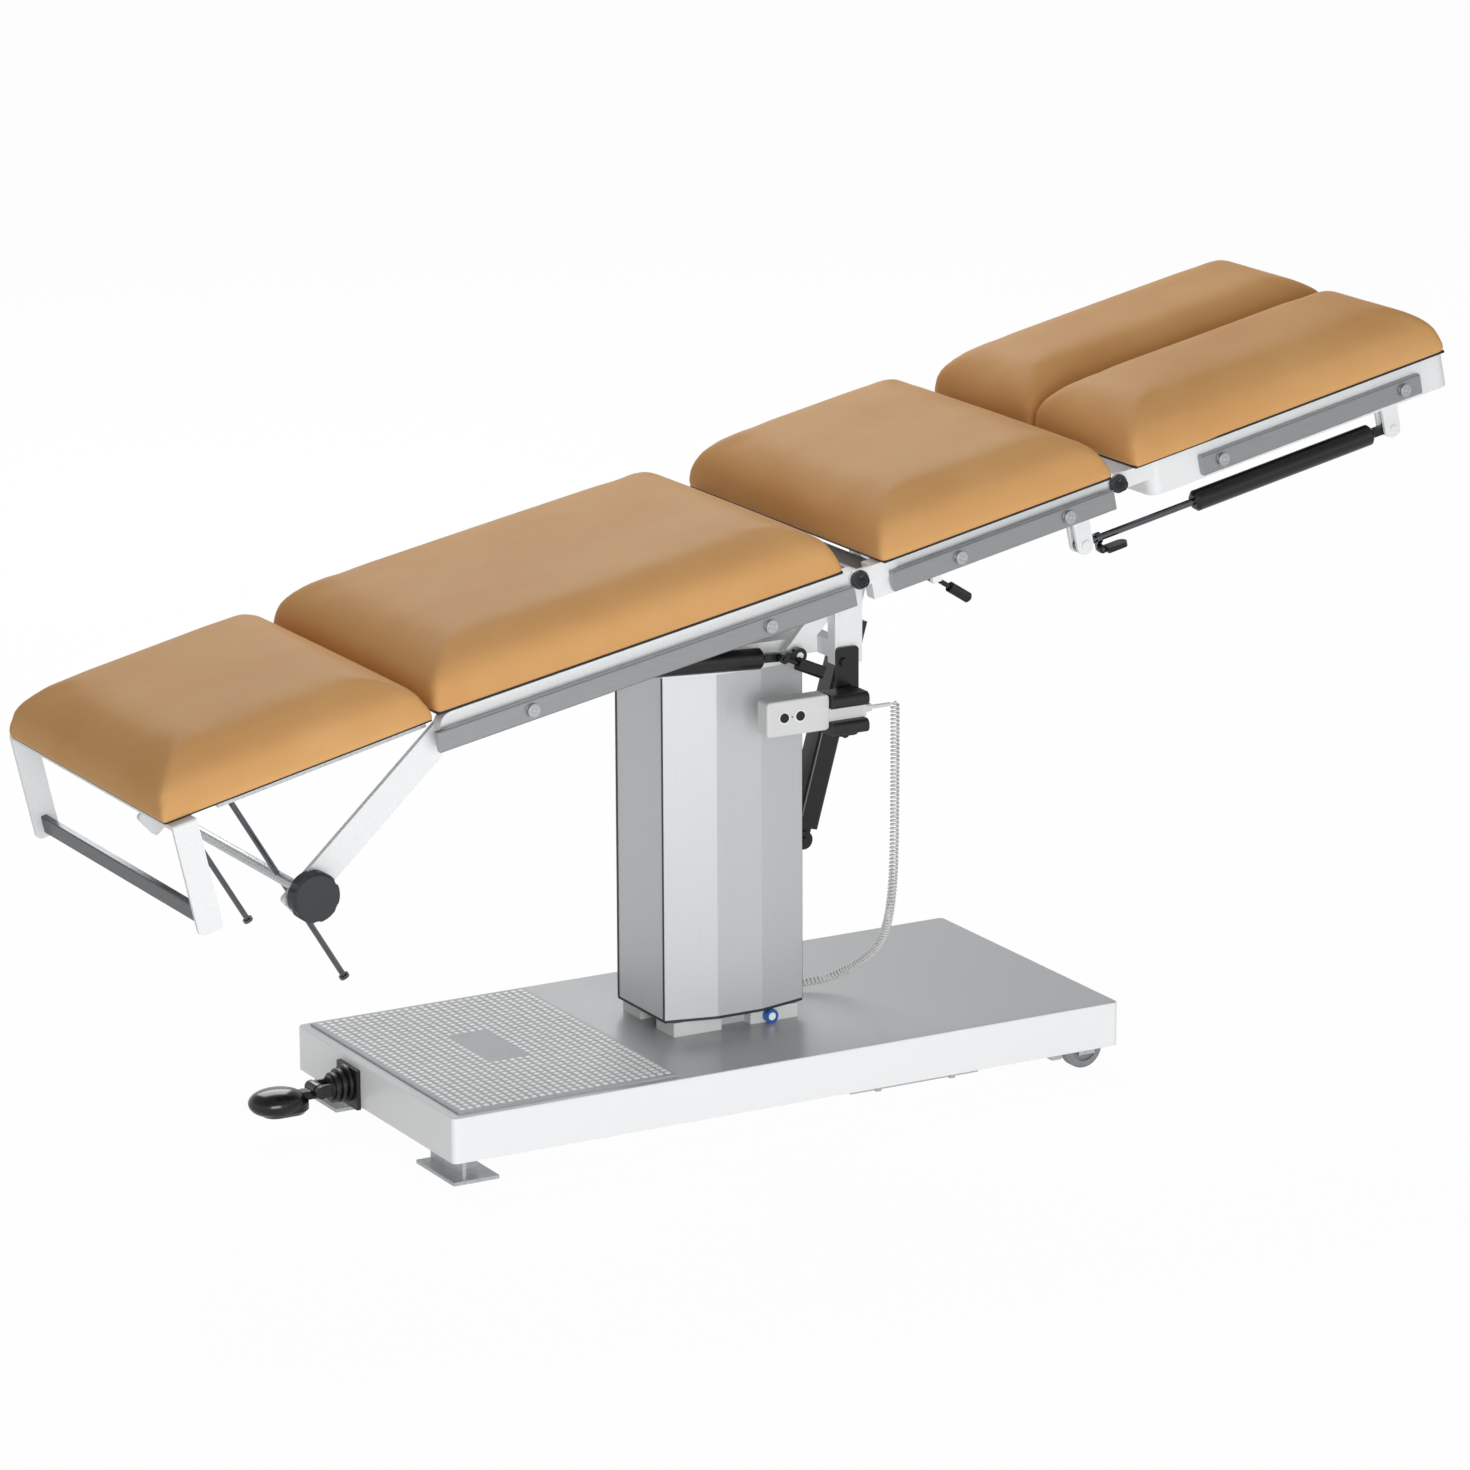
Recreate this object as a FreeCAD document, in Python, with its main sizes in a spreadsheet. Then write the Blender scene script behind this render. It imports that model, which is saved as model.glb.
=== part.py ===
import FreeCAD, Part
import math
import os
import re
import Sketcher

V = FreeCAD.Vector

# Operating table with a lifting column, a tilting top and five cushions.
# Millimetres. X runs from the head end to the leg end, Z is up from the floor,
# and the origin lies on the floor under the centre of the base.

# Base on the floor
dims = {
    "baseLength": 1045,
    "baseWidth": 480,
    "baseHeight": 63.5,
    "baseFloorGap": 32,
    "baseSheet": 4,
    "baseCornerRadius": 8,
    "matLength": 334,
    "matWidth": 456,
    "matThickness": 3,
    "matEdgeGap": 14,
    "footPlateLength": 68,
    "footPlateWidth": 112,
    "footPlateThickness": 5,
    "footBlockLength": 30,
    "footBlockWidth": 22,
    "footInset": 1.5,
    "footSideInset": 4,
    "footBlockAhead": 8,
    "footWebBehind": 14,
    "footWebThickness": 5,
    "wheelDiameter": 60,
    "wheelWidth": 22,
    "wheelInset": 45,
    "wheelSideInset": 28,
    "wheelAxleDiameter": 10,
    "wheelForkThickness": 4,
    "wheelSideGap": 1.5,
    "runningGap": 0.05,
    "partGap": 0.4,
    "originShift": 56.4,
}

# Foot pedal and the brake linkage that it moves
dims.update({
    "pedalSide": 72,
    "pedalPivotOut": 52,
    "pedalPivotHeight": 60,
    "pedalPinDiameter": 12,
    "pedalPadLength": 72,
    "pedalPadWidth": 56,
    "pedalPadThickness": 22,
    "pedalPadOut": 62,
    "pedalPadDrop": 14,
    "pedalArmWidth": 20,
    "bootBaseWidth": 62,
    "bootBaseHeight": 56,
    "bootRibDepth": 8,
    "bootRibGap": 5,
    "bootNeckDiameter": 34,
    "linkageDiameter": 9,
    "linkageLength": 900,
    "linkageHeight": 58,
    "linkageSideInset": 12,
    "strapDiameter": 5,
    "strapHeight": 28,
    "strapStart": 93,
    "strapEnd": 298,
    "hangerFirst": 137,
    "hangerSecond": 255.5,
    "guideFirst": -300,
    "guideSecond": 350,
    "brakeShoeLength": 16,
    "brakeShoeHeight": 22,
})

# Lifting column
dims.update({
    "columnLength": 218,
    "columnWidth": 172,
    "columnEndWidth": 137,
    "columnFacet": 70,
    "columnSheet": 4,
    "columnBottom": 120,
    "columnHeight": 486,
    "columnCapThickness": 8,
    "seamWidth": 5,
    "seamPlay": 0.04,
    "footTrimHeight": 4,
    "innerColumnLength": 150,
    "innerColumnWidth": 110,
    "innerColumnHeight": 420,
    "innerColumnWall": 6,
    "glidePadWidth": 44,
    "glidePadHeight": 70,
    "plinthLength": 196,
    "plinthWidth": 148,
    "plinthHeight": 20,
    "plinthSlot": 46,
    "spindleDiameter": 24,
    "spindleLength": 480,
    "motorDiameter": 70,
    "motorLength": 70,
    "socketDiameter": 20,
    "socketLength": 10,
    "socketX": 52,
})

# Carrier on top of the column with the two posts that hold the tilt axis
dims.update({
    "tiltX": 153.5,
    "tiltZ": 705,
    "postLength": 43,
    "postThickness": 20,
    "postSide": 110,
    "postBottom": 606,
    "carrierBeamStart": -70,
    "tiltPinDiameter": 16,
    "tiltLugThickness": 10,
    "tiltLugGap": 2,
})

# Handset, its holder and its cord
dims.update({
    "holderPlateLength": 34,
    "holderPlateHeight": 92,
    "holderPlateThickness": 6,
    "holderPlateX": 149,
    "prongLength": 56,
    "prongHeight": 19,
    "prongDepth": 46,
    "prongX": 128.5,
    "prongGap": 18.8,
    "prongRadius": 8,
    "handsetLength": 98,
    "handsetHeight": 50,
    "handsetDepth": 26,
    "handsetX": 51,
    "handsetY": -148,
    "handsetZ": 548,
    "handsetLift": 5,
    "handsetRadius": 6,
    "handsetNeckLength": 59.5,
    "handsetNeckHeight": 18,
    "handsetNeckDepth": 20,
    "buttonDiameter": 13,
    "buttonLength": 8,
    "buttonProud": 2,
    "buttonGap": 0.4,
    "buttonTravel": 1.2,
    "buttonSpacing": 25,
    "screwHeadDiameter": 13,
    "screwHeadHeight": 4,
    "strainLength": 12,
    "strainDiameter": 11,
    "cordTailLength": 32,
    "cordTailDiameter": 5.5,
    "coilDiameter": 14,
})

# Sections of the top: pivots, angles and common bars
dims.update({
    "backPivotX": 88,
    "backPivotZ": 761,
    "seatAngle": 11.8,
    "backAngle": 10.8,
    "legAngle": 12.1,
    "headAngle": 12.7,
    "legPivotReach": 418,
    "tubeWidth": 20,
    "tubeTop": 12,
    "tubeBottom": -38,
    "tubeOuterSide": 252,
    "crossTubeWidth": 30,
    "crossTubeHeight": 24,
    "railHeight": 28.5,
    "railThickness": 10,
    "railTop": -2.8,
    "railOuterSide": 271,
    "hingeShaftDiameter": 16,
    "hingePlateThickness": 7,
    "hingePlateHeight": 24,
    "capDiameter": 26,
    "capThickness": 7,
    "cushionSide": 24,
    "cushionHeight": 74,
    "cushionSlope": 78,
    "screwRimDiameter": 18,
    "screwRimHeight": 2,
})

# Seat section, along its own board from the back pivot
dims.update({
    "seatTubeStart": 22,
    "seatTubeEnd": 402,
    "seatCushionStart": 34,
    "seatCushionEnd": 407,
    "seatCushionWidth": 546,
    "seatRailStart": 46,
    "seatRailEnd": 404,
    "seatScrewFirst": 152,
    "seatScrewSecond": 328,
    "legSpringSide": 240,
    "legSpringDrop": 73,
    "legSpringAnchor": 357,
    "springLugThickness": 5,
    "springLugWidth": 26,
    "springPinDiameter": 10,
    "leverReach": 72,
    "leverStart": 128,
    "leverSide": 232,
    "leverRodDiameter": 7,
    "leverGripDiameter": 15,
    "leverGripLength": 38,
    "leverAngle": 44.5,
})

# Back section, along its own board towards the head end
dims.update({
    "backTubeEnd": 638,
    "backCornerRadius": 20,
    "backTubeStart": 14,
    "backEndCross": 556,
    "backCushionStart": 14,
    "backCushionEnd": 640,
    "backCushionWidth": 508,
    "backRailStart": 14.5,
    "backRailEnd": 652,
    "backScrewFirst": 148,
    "backScrewSecond": 512,
    "armThickness": 8,
    "armWidth": 40,
    "backSpringSide": 112,
    "backSpringAnchorX": 79,
    "backSpringAnchorZ": 625,
    "backSpringLugX": -192,
    "backSpringLugZ": 640,
    "springCylinderDiameter": 30,
    "springRodDiameter": 10,
    "backSpringTube": 176,
    "backSpringTubeStart": 58,
    "backSpringRodStart": 82,
})

# Head section, turning on a cross shaft held by the two arms
dims.update({
    "headShaftX": -725,
    "headShaftZ": 436.5,
    "headShaftDiameter": 15,
    "headShaftLength": 510,
    "headBoardX": -738.5,
    "headBoardZ": 603,
    "headCushionLength": 398,
    "headCushionWidth": 504,
    "headCushionSlope": 96,
    "headPlateLength": 306,
    "headPlateWidth": 488,
    "headPlateThickness": 6,
    "headRodAngle": 31.2,
    "headRodDiameter": 8,
    "headRodSide": 150,
    "headRodBelow": 172,
    "headRodHead": 14,
    "headRodHeadHeight": 4,
    "knobDiameter": 68,
    "knobThickness": 24,
    "knobLobes": 6,
    "knobLobeRadius": 8,
    "knobLobeOut": 5.5,
    "backLeverPivot": 30,
    "backLeverPin": 6,
    "backLeverAngle": 24,
    "backLeverStem": 24,
    "backLeverGrip": 42,
    "legPaddlePlace": 26,
    "bracketWidth": 35,
    "bracketThickness": 6,
    "bracketHeight": 155,
    "bracketSide": 266,
    "bracketStart": -170,
    "bracketRailHeight": 25,
    "bracketRailDepth": 10,
})

# Leg sections, one on each side, along their own board from the leg pivot
dims.update({
    "legTubeStart": 52,
    "legTubeEnd": 558,
    "legInnerSide": 8,
    "legCushionStart": 26,
    "legCushionEnd": 556,
    "legCushionWidth": 266,
    "legCushionGap": 6,
    "legRailStart": 132,
    "legRailEnd": 503,
    "legScrewFirst": 165,
    "legScrewSecond": 474,
    "legSpringClevis": 458,
    "legSpringTubeStart": 31,
    "legSpringTube": 303,
    "legSpringRodStart": 182,
    "legCornerRadius": 18,
    "paddleLength": 34,
    "paddleWidth": 20,
    "paddleThickness": 7,
})

# Tilt actuator between the column and the seat frame
dims.update({
    "actuatorFootX": 142,
    "actuatorFootZ": 330,
    "actuatorHeadX": 250,
    "actuatorHeadZ": 716,
    "actuatorWidth": 34,
    "actuatorDepth": 40,
    "actuatorTube": 300,
    "actuatorRodDiameter": 20,
    "actuatorPinDiameter": 10,
    "actuatorEye": 24,
})

doc = FreeCAD.newDocument("operating_table")
sheet = doc.addObject("Spreadsheet::Sheet", "dims")
for row, (alias, value) in enumerate(dims.items(), start=1):
    sheet.set("A%d" % row, alias)
    sheet.set("B%d" % row, str(value))
    sheet.setAlias("B%d" % row, alias)
doc.recompute()


def read(name):
    return float(sheet.get(name))


def linked(expression):
    # Names of driving dimensions in an expression point at the sheet.
    return re.sub(r"[A-Za-z][A-Za-z]+", lambda word: (
        "dims." + word.group(0) if word.group(0) in dims else word.group(0)), expression)


def boardFrame(x, z, angle):
    return FreeCAD.Placement(V(x, 0, z), FreeCAD.Rotation(V(0, 1, 0), -angle))


def shifted(place, x, y, z):
    return place.multiply(FreeCAD.Placement(V(x, y, z), FreeCAD.Rotation()))


# Frames of the sections, drawn from the centre of the base. The origin of the object lies
# under the middle of its whole length, so every piece is set back by the same shift.
originPlace = FreeCAD.Placement(V(-read("originShift"), 0, 0), FreeCAD.Rotation())
floorFrame = FreeCAD.Placement()
seatFrame = boardFrame(read("backPivotX"), read("backPivotZ"), read("seatAngle"))
backFrame = boardFrame(read("backPivotX"), read("backPivotZ"), read("backAngle"))
legPivot = seatFrame.multVec(V(read("legPivotReach"), 0, 0))
legFrame = boardFrame(legPivot.x, legPivot.z, read("legAngle"))
headFrame = boardFrame(read("headBoardX"), read("headBoardZ"), read("headAngle"))
shaftFrame = boardFrame(read("headShaftX"), read("headShaftZ"), read("headRodAngle"))


def lineFrame(startX, startZ, endX, endZ):
    # Local X runs from the start point to the end point.
    angle = math.degrees(math.atan2(endZ - startZ, endX - startX))
    return boardFrame(startX, startZ, angle)


finished = []


class Piece:
    """One solid or group of solids, built from sketches in its own frame."""

    roles = {"XY": "XY_Plane", "XZ": "XZ_Plane", "YZ": "YZ_Plane"}

    def __init__(self, label, frame=floorFrame):
        self.body = doc.addObject("PartDesign::Body", label)
        self.body.Label = label
        self.body.Placement = originPlace.multiply(frame)
        self.count = 0
        self.tip = None
        finished.append(self)

    def sketch(self, plane, at):
        self.count += 1
        sketch = self.body.newObject("Sketcher::SketchObject", "%s_sketch_%d" % (self.body.Label, self.count))
        for origin in self.body.Origin.OriginFeatures:
            if origin.Role == self.roles[plane]:
                sketch.AttachmentSupport = [(origin, "")]
        sketch.MapMode = "FlatFace"
        x, y, z = at
        offsets = {"XY": (x, y, z), "XZ": (x, z, "-(%s)" % y), "YZ": (y, z, x)}[plane]
        for axis, expression in zip("xyz", offsets):
            sketch.setExpression("AttachmentOffset.Base." + axis, linked(expression))
        return sketch

    def rect(self, plane, at, width, height):
        sketch = self.sketch(plane, at)
        corners = [V(-5, -5, 0), V(5, -5, 0), V(5, 5, 0), V(-5, 5, 0)]
        for i in range(4):
            sketch.addGeometry(Part.LineSegment(corners[i], corners[(i + 1) % 4]))
        for i in range(4):
            sketch.addConstraint(Sketcher.Constraint("Coincident", i, 2, (i + 1) % 4, 1))
        sketch.addConstraint(Sketcher.Constraint("Horizontal", 0))
        sketch.addConstraint(Sketcher.Constraint("Horizontal", 2))
        sketch.addConstraint(Sketcher.Constraint("Vertical", 1))
        sketch.addConstraint(Sketcher.Constraint("Vertical", 3))
        sketch.addConstraint(Sketcher.Constraint("Symmetric", 0, 1, 2, 1, -1, 1))
        across = sketch.addConstraint(Sketcher.Constraint("DistanceX", 0, 1, 0, 2, 10))
        up = sketch.addConstraint(Sketcher.Constraint("DistanceY", 1, 1, 1, 2, 10))
        sketch.setExpression("Constraints[%d]" % across, linked(width))
        sketch.setExpression("Constraints[%d]" % up, linked(height))
        return sketch

    def disc(self, plane, at, diameter):
        sketch = self.sketch(plane, at)
        sketch.addGeometry(Part.Circle(V(0, 0, 0), V(0, 0, 1), 5))
        sketch.addConstraint(Sketcher.Constraint("Coincident", 0, 3, -1, 1))
        size = sketch.addConstraint(Sketcher.Constraint("Diameter", 0, 10))
        sketch.setExpression("Constraints[%d]" % size, linked(diameter))
        return sketch

    def outline(self, plane, at, points):
        # A closed outline whose corners each have their own two dimensions.
        sketch = self.sketch(plane, at)
        count = len(points)
        ring = [V(9 * math.cos(2 * math.pi * i / count), 9 * math.sin(2 * math.pi * i / count), 0)
                for i in range(count)]
        for i in range(count):
            sketch.addGeometry(Part.LineSegment(ring[i], ring[(i + 1) % count]))
        for i in range(count):
            sketch.addConstraint(Sketcher.Constraint("Coincident", i, 2, (i + 1) % count, 1))
        for i, (across, up) in enumerate(points):
            for kind, expression, start in (("DistanceX", across, ring[i].x), ("DistanceY", up, ring[i].y)):
                number = sketch.addConstraint(Sketcher.Constraint(kind, -1, 1, i, 1, start))
                sketch.setExpression("Constraints[%d]" % number, linked(expression))
        return sketch

    def pad(self, sketch, length):
        return self.feature("PartDesign::Pad", sketch, length)

    def pocket(self, sketch, length):
        return self.feature("PartDesign::Pocket", sketch, length)

    def feature(self, kind, sketch, length):
        self.count += 1
        before = self.volume()
        feature = self.body.newObject(kind, "%s_step_%d" % (self.body.Label, self.count))
        feature.Profile = sketch
        feature.SideType = "Symmetric"
        feature.setExpression("Length", linked(length))
        doc.recompute()
        self.tip = feature
        if kind.endswith("Pocket") and self.volume() > before - 0.01:
            print("cuts nothing:", feature.Name)
        return self

    def turn(self, sketch, axis="V_Axis"):
        self.count += 1
        feature = self.body.newObject("PartDesign::Revolution", "%s_turn_%d" % (self.body.Label, self.count))
        feature.Profile = sketch
        feature.ReferenceAxis = (sketch, [axis])
        feature.Angle = 360
        doc.recompute()
        self.tip = feature
        return self

    def loft(self, lower, uppers):
        self.count += 1
        feature = self.body.newObject("PartDesign::AdditiveLoft", "%s_loft_%d" % (self.body.Label, self.count))
        feature.Profile = lower
        feature.Sections = uppers
        feature.Ruled = True
        doc.recompute()
        self.tip = feature
        return self

    def steps(self):
        return self.body.Group

    def volume(self):
        if self.tip is None:
            return 0.0
        return self.tip.Shape.Volume

    def edges(self, direction=None, test=None):
        names = []
        for number, edge in enumerate(self.tip.Shape.Edges, start=1):
            middle = edge.valueAt((edge.FirstParameter + edge.LastParameter) / 2)
            if direction is not None:
                if not isinstance(edge.Curve, (Part.Line, Part.LineSegment)):
                    continue
                if abs(edge.tangentAt(edge.FirstParameter).dot(V(*direction))) < 0.999:
                    continue
            if test is None or test(middle):
                names.append("Edge%d" % number)
        return names

    def fillet(self, radius, direction=None, test=None):
        return self.dress("PartDesign::Fillet", "Radius", radius, direction, test)

    def chamfer(self, size, direction=None, test=None):
        return self.dress("PartDesign::Chamfer", "Size", size, direction, test)

    def dress(self, kind, name, size, direction, test):
        self.count += 1
        names = self.edges(direction, test)
        base = self.tip
        feature = self.body.newObject(kind, "%s_edge_%d" % (self.body.Label, self.count))
        feature.Base = (base, names)
        feature.setExpression(name, linked(size))
        doc.recompute()
        self.tip = feature
        return self


def bar(piece, plane, start, width, height, length):
    return piece.pad(piece.rect(plane, start, width, height), length)


def rod(piece, plane, at, diameter, length):
    return piece.pad(piece.disc(plane, at, diameter), length)


def hole(piece, plane, at, diameter, length):
    return piece.pocket(piece.disc(plane, at, diameter), length)


sides = {"right": "-", "left": ""}

# Base: a folded cover open underneath, standing on two feet and two wheels.
baseTop = "(baseFloorGap + baseHeight)"


def makeHousing():
    housing = Piece("base_housing")
    bar(housing, "XY", ("0", "0", "baseFloorGap + baseHeight / 2"), "baseLength", "baseWidth", "baseHeight")
    housing.fillet("baseCornerRadius", (0, 0, 1))
    top = read("baseFloorGap") + read("baseHeight")
    housing.fillet("2.5", None, lambda p: p.z > top - 0.01)
    housing.pocket(housing.rect("XY", ("0", "0", "baseFloorGap + (baseHeight - baseSheet) / 2 - 1"),
                                "baseLength - 2 * baseSheet", "baseWidth - 2 * baseSheet"),
                   "baseHeight - baseSheet + 2")


def makeMat():
    mat = Piece("tread_mat")
    bar(mat, "XY", ("-baseLength / 2 + matEdgeGap + matLength / 2", "0", baseTop + " + matThickness / 2"),
        "matLength", "matWidth", "matThickness")
    mat.chamfer("matThickness / 2", None, lambda p: p.z > read("baseFloorGap") + read("baseHeight") + 2.9)


footX = "(-baseLength / 2 + footInset + footPlateLength / 2)"


footSide = "(baseWidth / 2 - footSideInset - footPlateWidth / 2)"


def makeFeet():
    feet = Piece("floor_feet")
    blockTop = "(baseFloorGap + baseHeight - baseSheet)"
    for sign in sides.values():
        side = sign + footSide
        bar(feet, "XY", (footX, side, "footPlateThickness / 2"),
            "footPlateLength", "footPlateWidth", "footPlateThickness")
        bar(feet, "XY", (footX + " + footBlockAhead", side, "(footPlateThickness + %s) / 2" % blockTop),
            "footBlockLength", "footBlockWidth", "%s - footPlateThickness" % blockTop)
        bar(feet, "XZ", (footX + " - footWebBehind", side, "(footPlateThickness + %s) / 2" % blockTop),
            "footWebThickness", "%s - footPlateThickness" % blockTop, "footPlateWidth - 16")


wheelX = "(baseLength / 2 - wheelInset)"
wheelSide = "(baseWidth / 2 - wheelSideInset)"


def makeWheelBrackets():
    brackets = Piece("base_brackets")
    plateTop = "(baseFloorGap + baseHeight - baseSheet)"
    reach = "(wheelWidth / 2 + wheelSideGap + wheelForkThickness / 2)"
    for sign in sides.values():
        side = sign + wheelSide
        bar(brackets, "XY", (wheelX, side, plateTop + " - wheelForkThickness / 2"),
            "44", "wheelWidth + 2 * wheelSideGap + 2 * wheelForkThickness", "wheelForkThickness")
        for cheek in ("-", "+"):
            place = "%s %s %s" % (side, cheek, reach)
            bar(brackets, "XZ", (wheelX, place, "(wheelDiameter / 2 + %s) / 2 - 4" % plateTop),
                "26", "%s - wheelDiameter / 2 + 8" % plateTop, "wheelForkThickness")
        rod(brackets, "XZ", (wheelX, side, "wheelDiameter / 2"), "wheelAxleDiameter",
            "wheelWidth + 2 * wheelSideGap + 4 * wheelForkThickness")
    addLinkageGuides(brackets)


def makeWheel(label, sign):
    wheel = Piece(label)
    side = sign + wheelSide
    rod(wheel, "XZ", (wheelX, side, "wheelDiameter / 2"), "wheelDiameter", "wheelWidth")
    wheel.chamfer("4")
    for cheek in ("-", "+"):
        wheel.pocket(wheel.disc("XZ", (wheelX, "%s %s wheelWidth / 2" % (side, cheek), "wheelDiameter / 2"),
                                "wheelDiameter - 22"), "8")
        rod(wheel, "XZ", (wheelX, "%s %s (wheelWidth / 2 - 3)" % (side, cheek), "wheelDiameter / 2"),
            "20", "6")
    hole(wheel, "XZ", (wheelX, side, "wheelDiameter / 2"), "wheelAxleDiameter + 2 * runningGap",
         "wheelWidth + 10")


pedalX = "(-baseLength / 2 - pedalPivotOut)"


def makeBoot():
    # Ribbed rubber boot on the end wall with the two cheeks that hold the pedal pin.
    boot = Piece("pedal_boot")
    bar(boot, "YZ", ("-baseLength / 2 - 3", "pedalSide", "pedalPivotHeight - 4"),
        "bootBaseWidth", "bootBaseHeight", "6")
    for number in range(3):
        place = "-baseLength / 2 - 6 - bootRibDepth / 2 - %d * (bootRibDepth + bootRibGap - 4)" % number
        rod(boot, "YZ", (place, "pedalSide", "pedalPivotHeight - %d" % (2 * number)),
            "bootBaseHeight - %d" % (4 + 5 * number), "bootRibDepth - 4 + 0.5")
        rod(boot, "YZ", (place, "pedalSide", "pedalPivotHeight - %d" % (2 * number)),
            "bootNeckDiameter", "bootRibDepth + 4.5")
    for cheek in ("-", "+"):
        bar(boot, "XZ", (pedalX + " + 12", "pedalSide %s 13" % cheek, "pedalPivotHeight - 3"), "24", "18", "4")
        rod(boot, "XZ", (pedalX, "pedalSide %s 13" % cheek, "pedalPivotHeight - 3"), "18", "4")
    addPedalPin(boot)


def makePedal():
    pedal = Piece("foot_pedal")
    height = "pedalPivotHeight - 3"
    padX = pedalX + " - pedalPadOut + 10"
    bar(pedal, "XY", (padX, "pedalSide", height + " - pedalPadDrop"),
        "pedalPadLength", "pedalPadWidth", "pedalPadThickness")
    pedal.fillet("pedalPadWidth / 2 - 4", (0, 0, 1))
    pedal.chamfer("6", None, lambda p: abs(p.z - 43) > 2)
    rod(pedal, "XZ", (pedalX, "pedalSide", height), "20", "pedalArmWidth")
    bar(pedal, "XZ", (pedalX + " - 16", "pedalSide", height + " - 4"), "34", "12", "pedalArmWidth - 4")
    hole(pedal, "XZ", (pedalX, "pedalSide", height), "pedalPinDiameter + 2 * runningGap", "60")


def addPedalPin(pin):
    rod(pin, "XZ", (pedalX, "pedalSide", "pedalPivotHeight - 3"), "pedalPinDiameter", "34")
    for cheek in ("-", "+"):
        rod(pin, "XZ", (pedalX, "pedalSide %s 17" % cheek, "pedalPivotHeight - 3"), "pedalPinDiameter + 6", "4")


linkageSide = "(baseWidth / 2 - linkageSideInset)"
linkageEnd = "(baseLength / 2 - wheelInset - wheelDiameter / 2 - 14)"


brakeShoeSide = "-(%s + 2 + %s) / 2 + 5.5" % (linkageSide, wheelSide)


def makeLinkage():
    # Push rod inside the base with a brake shoe behind the wheel and a low strap on two hangers.
    linkage = Piece("brake_linkage")
    rod(linkage, "YZ", (linkageEnd + " - linkageLength / 2", "-" + linkageSide, "linkageHeight"),
        "linkageDiameter", "linkageLength")
    rod(linkage, "YZ", ("(strapStart + strapEnd) / 2", "-" + linkageSide, "strapHeight"),
        "strapDiameter", "strapEnd - strapStart")
    for place in ("hangerFirst", "hangerSecond"):
        bar(linkage, "XY", (place, "-" + linkageSide, "(linkageHeight + strapHeight - 4) / 2"),
            "8", "8", "linkageHeight - strapHeight + 4")
    bar(linkage, "XY", (linkageEnd + " - brakeShoeLength / 2 + 2", brakeShoeSide,
                        "(wheelDiameter / 2 + linkageHeight) / 2"),
        "brakeShoeLength", "wheelWidth + 6", "brakeShoeHeight + linkageHeight - wheelDiameter / 2 - 6")


def addLinkageGuides(guides):
    top = "(baseFloorGap + baseHeight - baseSheet)"
    low = "(linkageHeight - linkageDiameter)"
    for place in ("guideFirst", "guideSecond"):
        bar(guides, "YZ", (place, "-" + linkageSide, "(%s + %s) / 2" % (low, top)),
            "14", "%s - %s" % (top, low), "8")
        hole(guides, "YZ", (place, "-" + linkageSide, "linkageHeight"),
             "linkageDiameter + 2 * runningGap", "20")


# Column: an inner tube on the base and a faceted sleeve that rises around it.
halfFacet = "columnFacet / 2"
columnOutline = [
    ("-columnLength / 2", "-columnEndWidth / 2"), ("-" + halfFacet, "-columnWidth / 2"),
    (halfFacet, "-columnWidth / 2"), ("columnLength / 2", "-columnEndWidth / 2"),
    ("columnLength / 2", "columnEndWidth / 2"), (halfFacet, "columnWidth / 2"),
    ("-" + halfFacet, "columnWidth / 2"), ("-columnLength / 2", "columnEndWidth / 2"),
]


def inset(points, amount):
    # Moves every corner of the column outline inwards by an amount in both directions.
    moved = []
    for across, up in points:
        signX = "+" if across.startswith("-") else "-"
        signY = "+" if up.startswith("-") else "-"
        keepX = across if "Facet" in across else "%s %s (%s)" % (across, signX, amount)
        moved.append((keepX, "%s %s (%s)" % (up, signY, amount)))
    return moved


sleeveMiddle = "columnBottom + columnHeight / 2"


def makeColumnPanels():
    side = Piece("column_side_panels")
    side.pad(side.outline("XY", ("0", "0", sleeveMiddle), columnOutline), "columnHeight")
    side.pocket(side.outline("XY", ("0", "0", sleeveMiddle), inset(columnOutline, "columnSheet")),
                "columnHeight + 20")
    for sign in ("-", ""):
        side.pocket(side.rect("XY", (sign + "columnLength / 2", "0", sleeveMiddle),
                              "2 * columnSheet + 2", "columnEndWidth - 0.02"), "columnHeight + 20")
    ends = Piece("column_end_panels")
    for sign in ("-", ""):
        bar(ends, "XY", (sign + "(columnLength / 2 - columnSheet / 2)", "0", sleeveMiddle),
            "columnSheet", "columnEndWidth - 2 * seamWidth", "columnHeight")
    seams = Piece("column_trims")
    for signX in ("-", ""):
        for signY in ("-", ""):
            bar(seams, "XY", (signX + "(columnLength / 2 - columnSheet / 2)",
                              signY + "(columnEndWidth / 2 - seamWidth / 2)", sleeveMiddle),
                "columnSheet + 1", "seamWidth - seamPlay", "columnHeight")
    addFootTrim(seams)


def addFootTrim(trim):
    at = ("0", "0", "columnBottom - footTrimHeight / 2")
    trim.pad(trim.outline("XY", at, columnOutline), "footTrimHeight")
    trim.pocket(trim.outline("XY", at, inset(columnOutline, "columnSheet + 3")), "footTrimHeight + 4")


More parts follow.
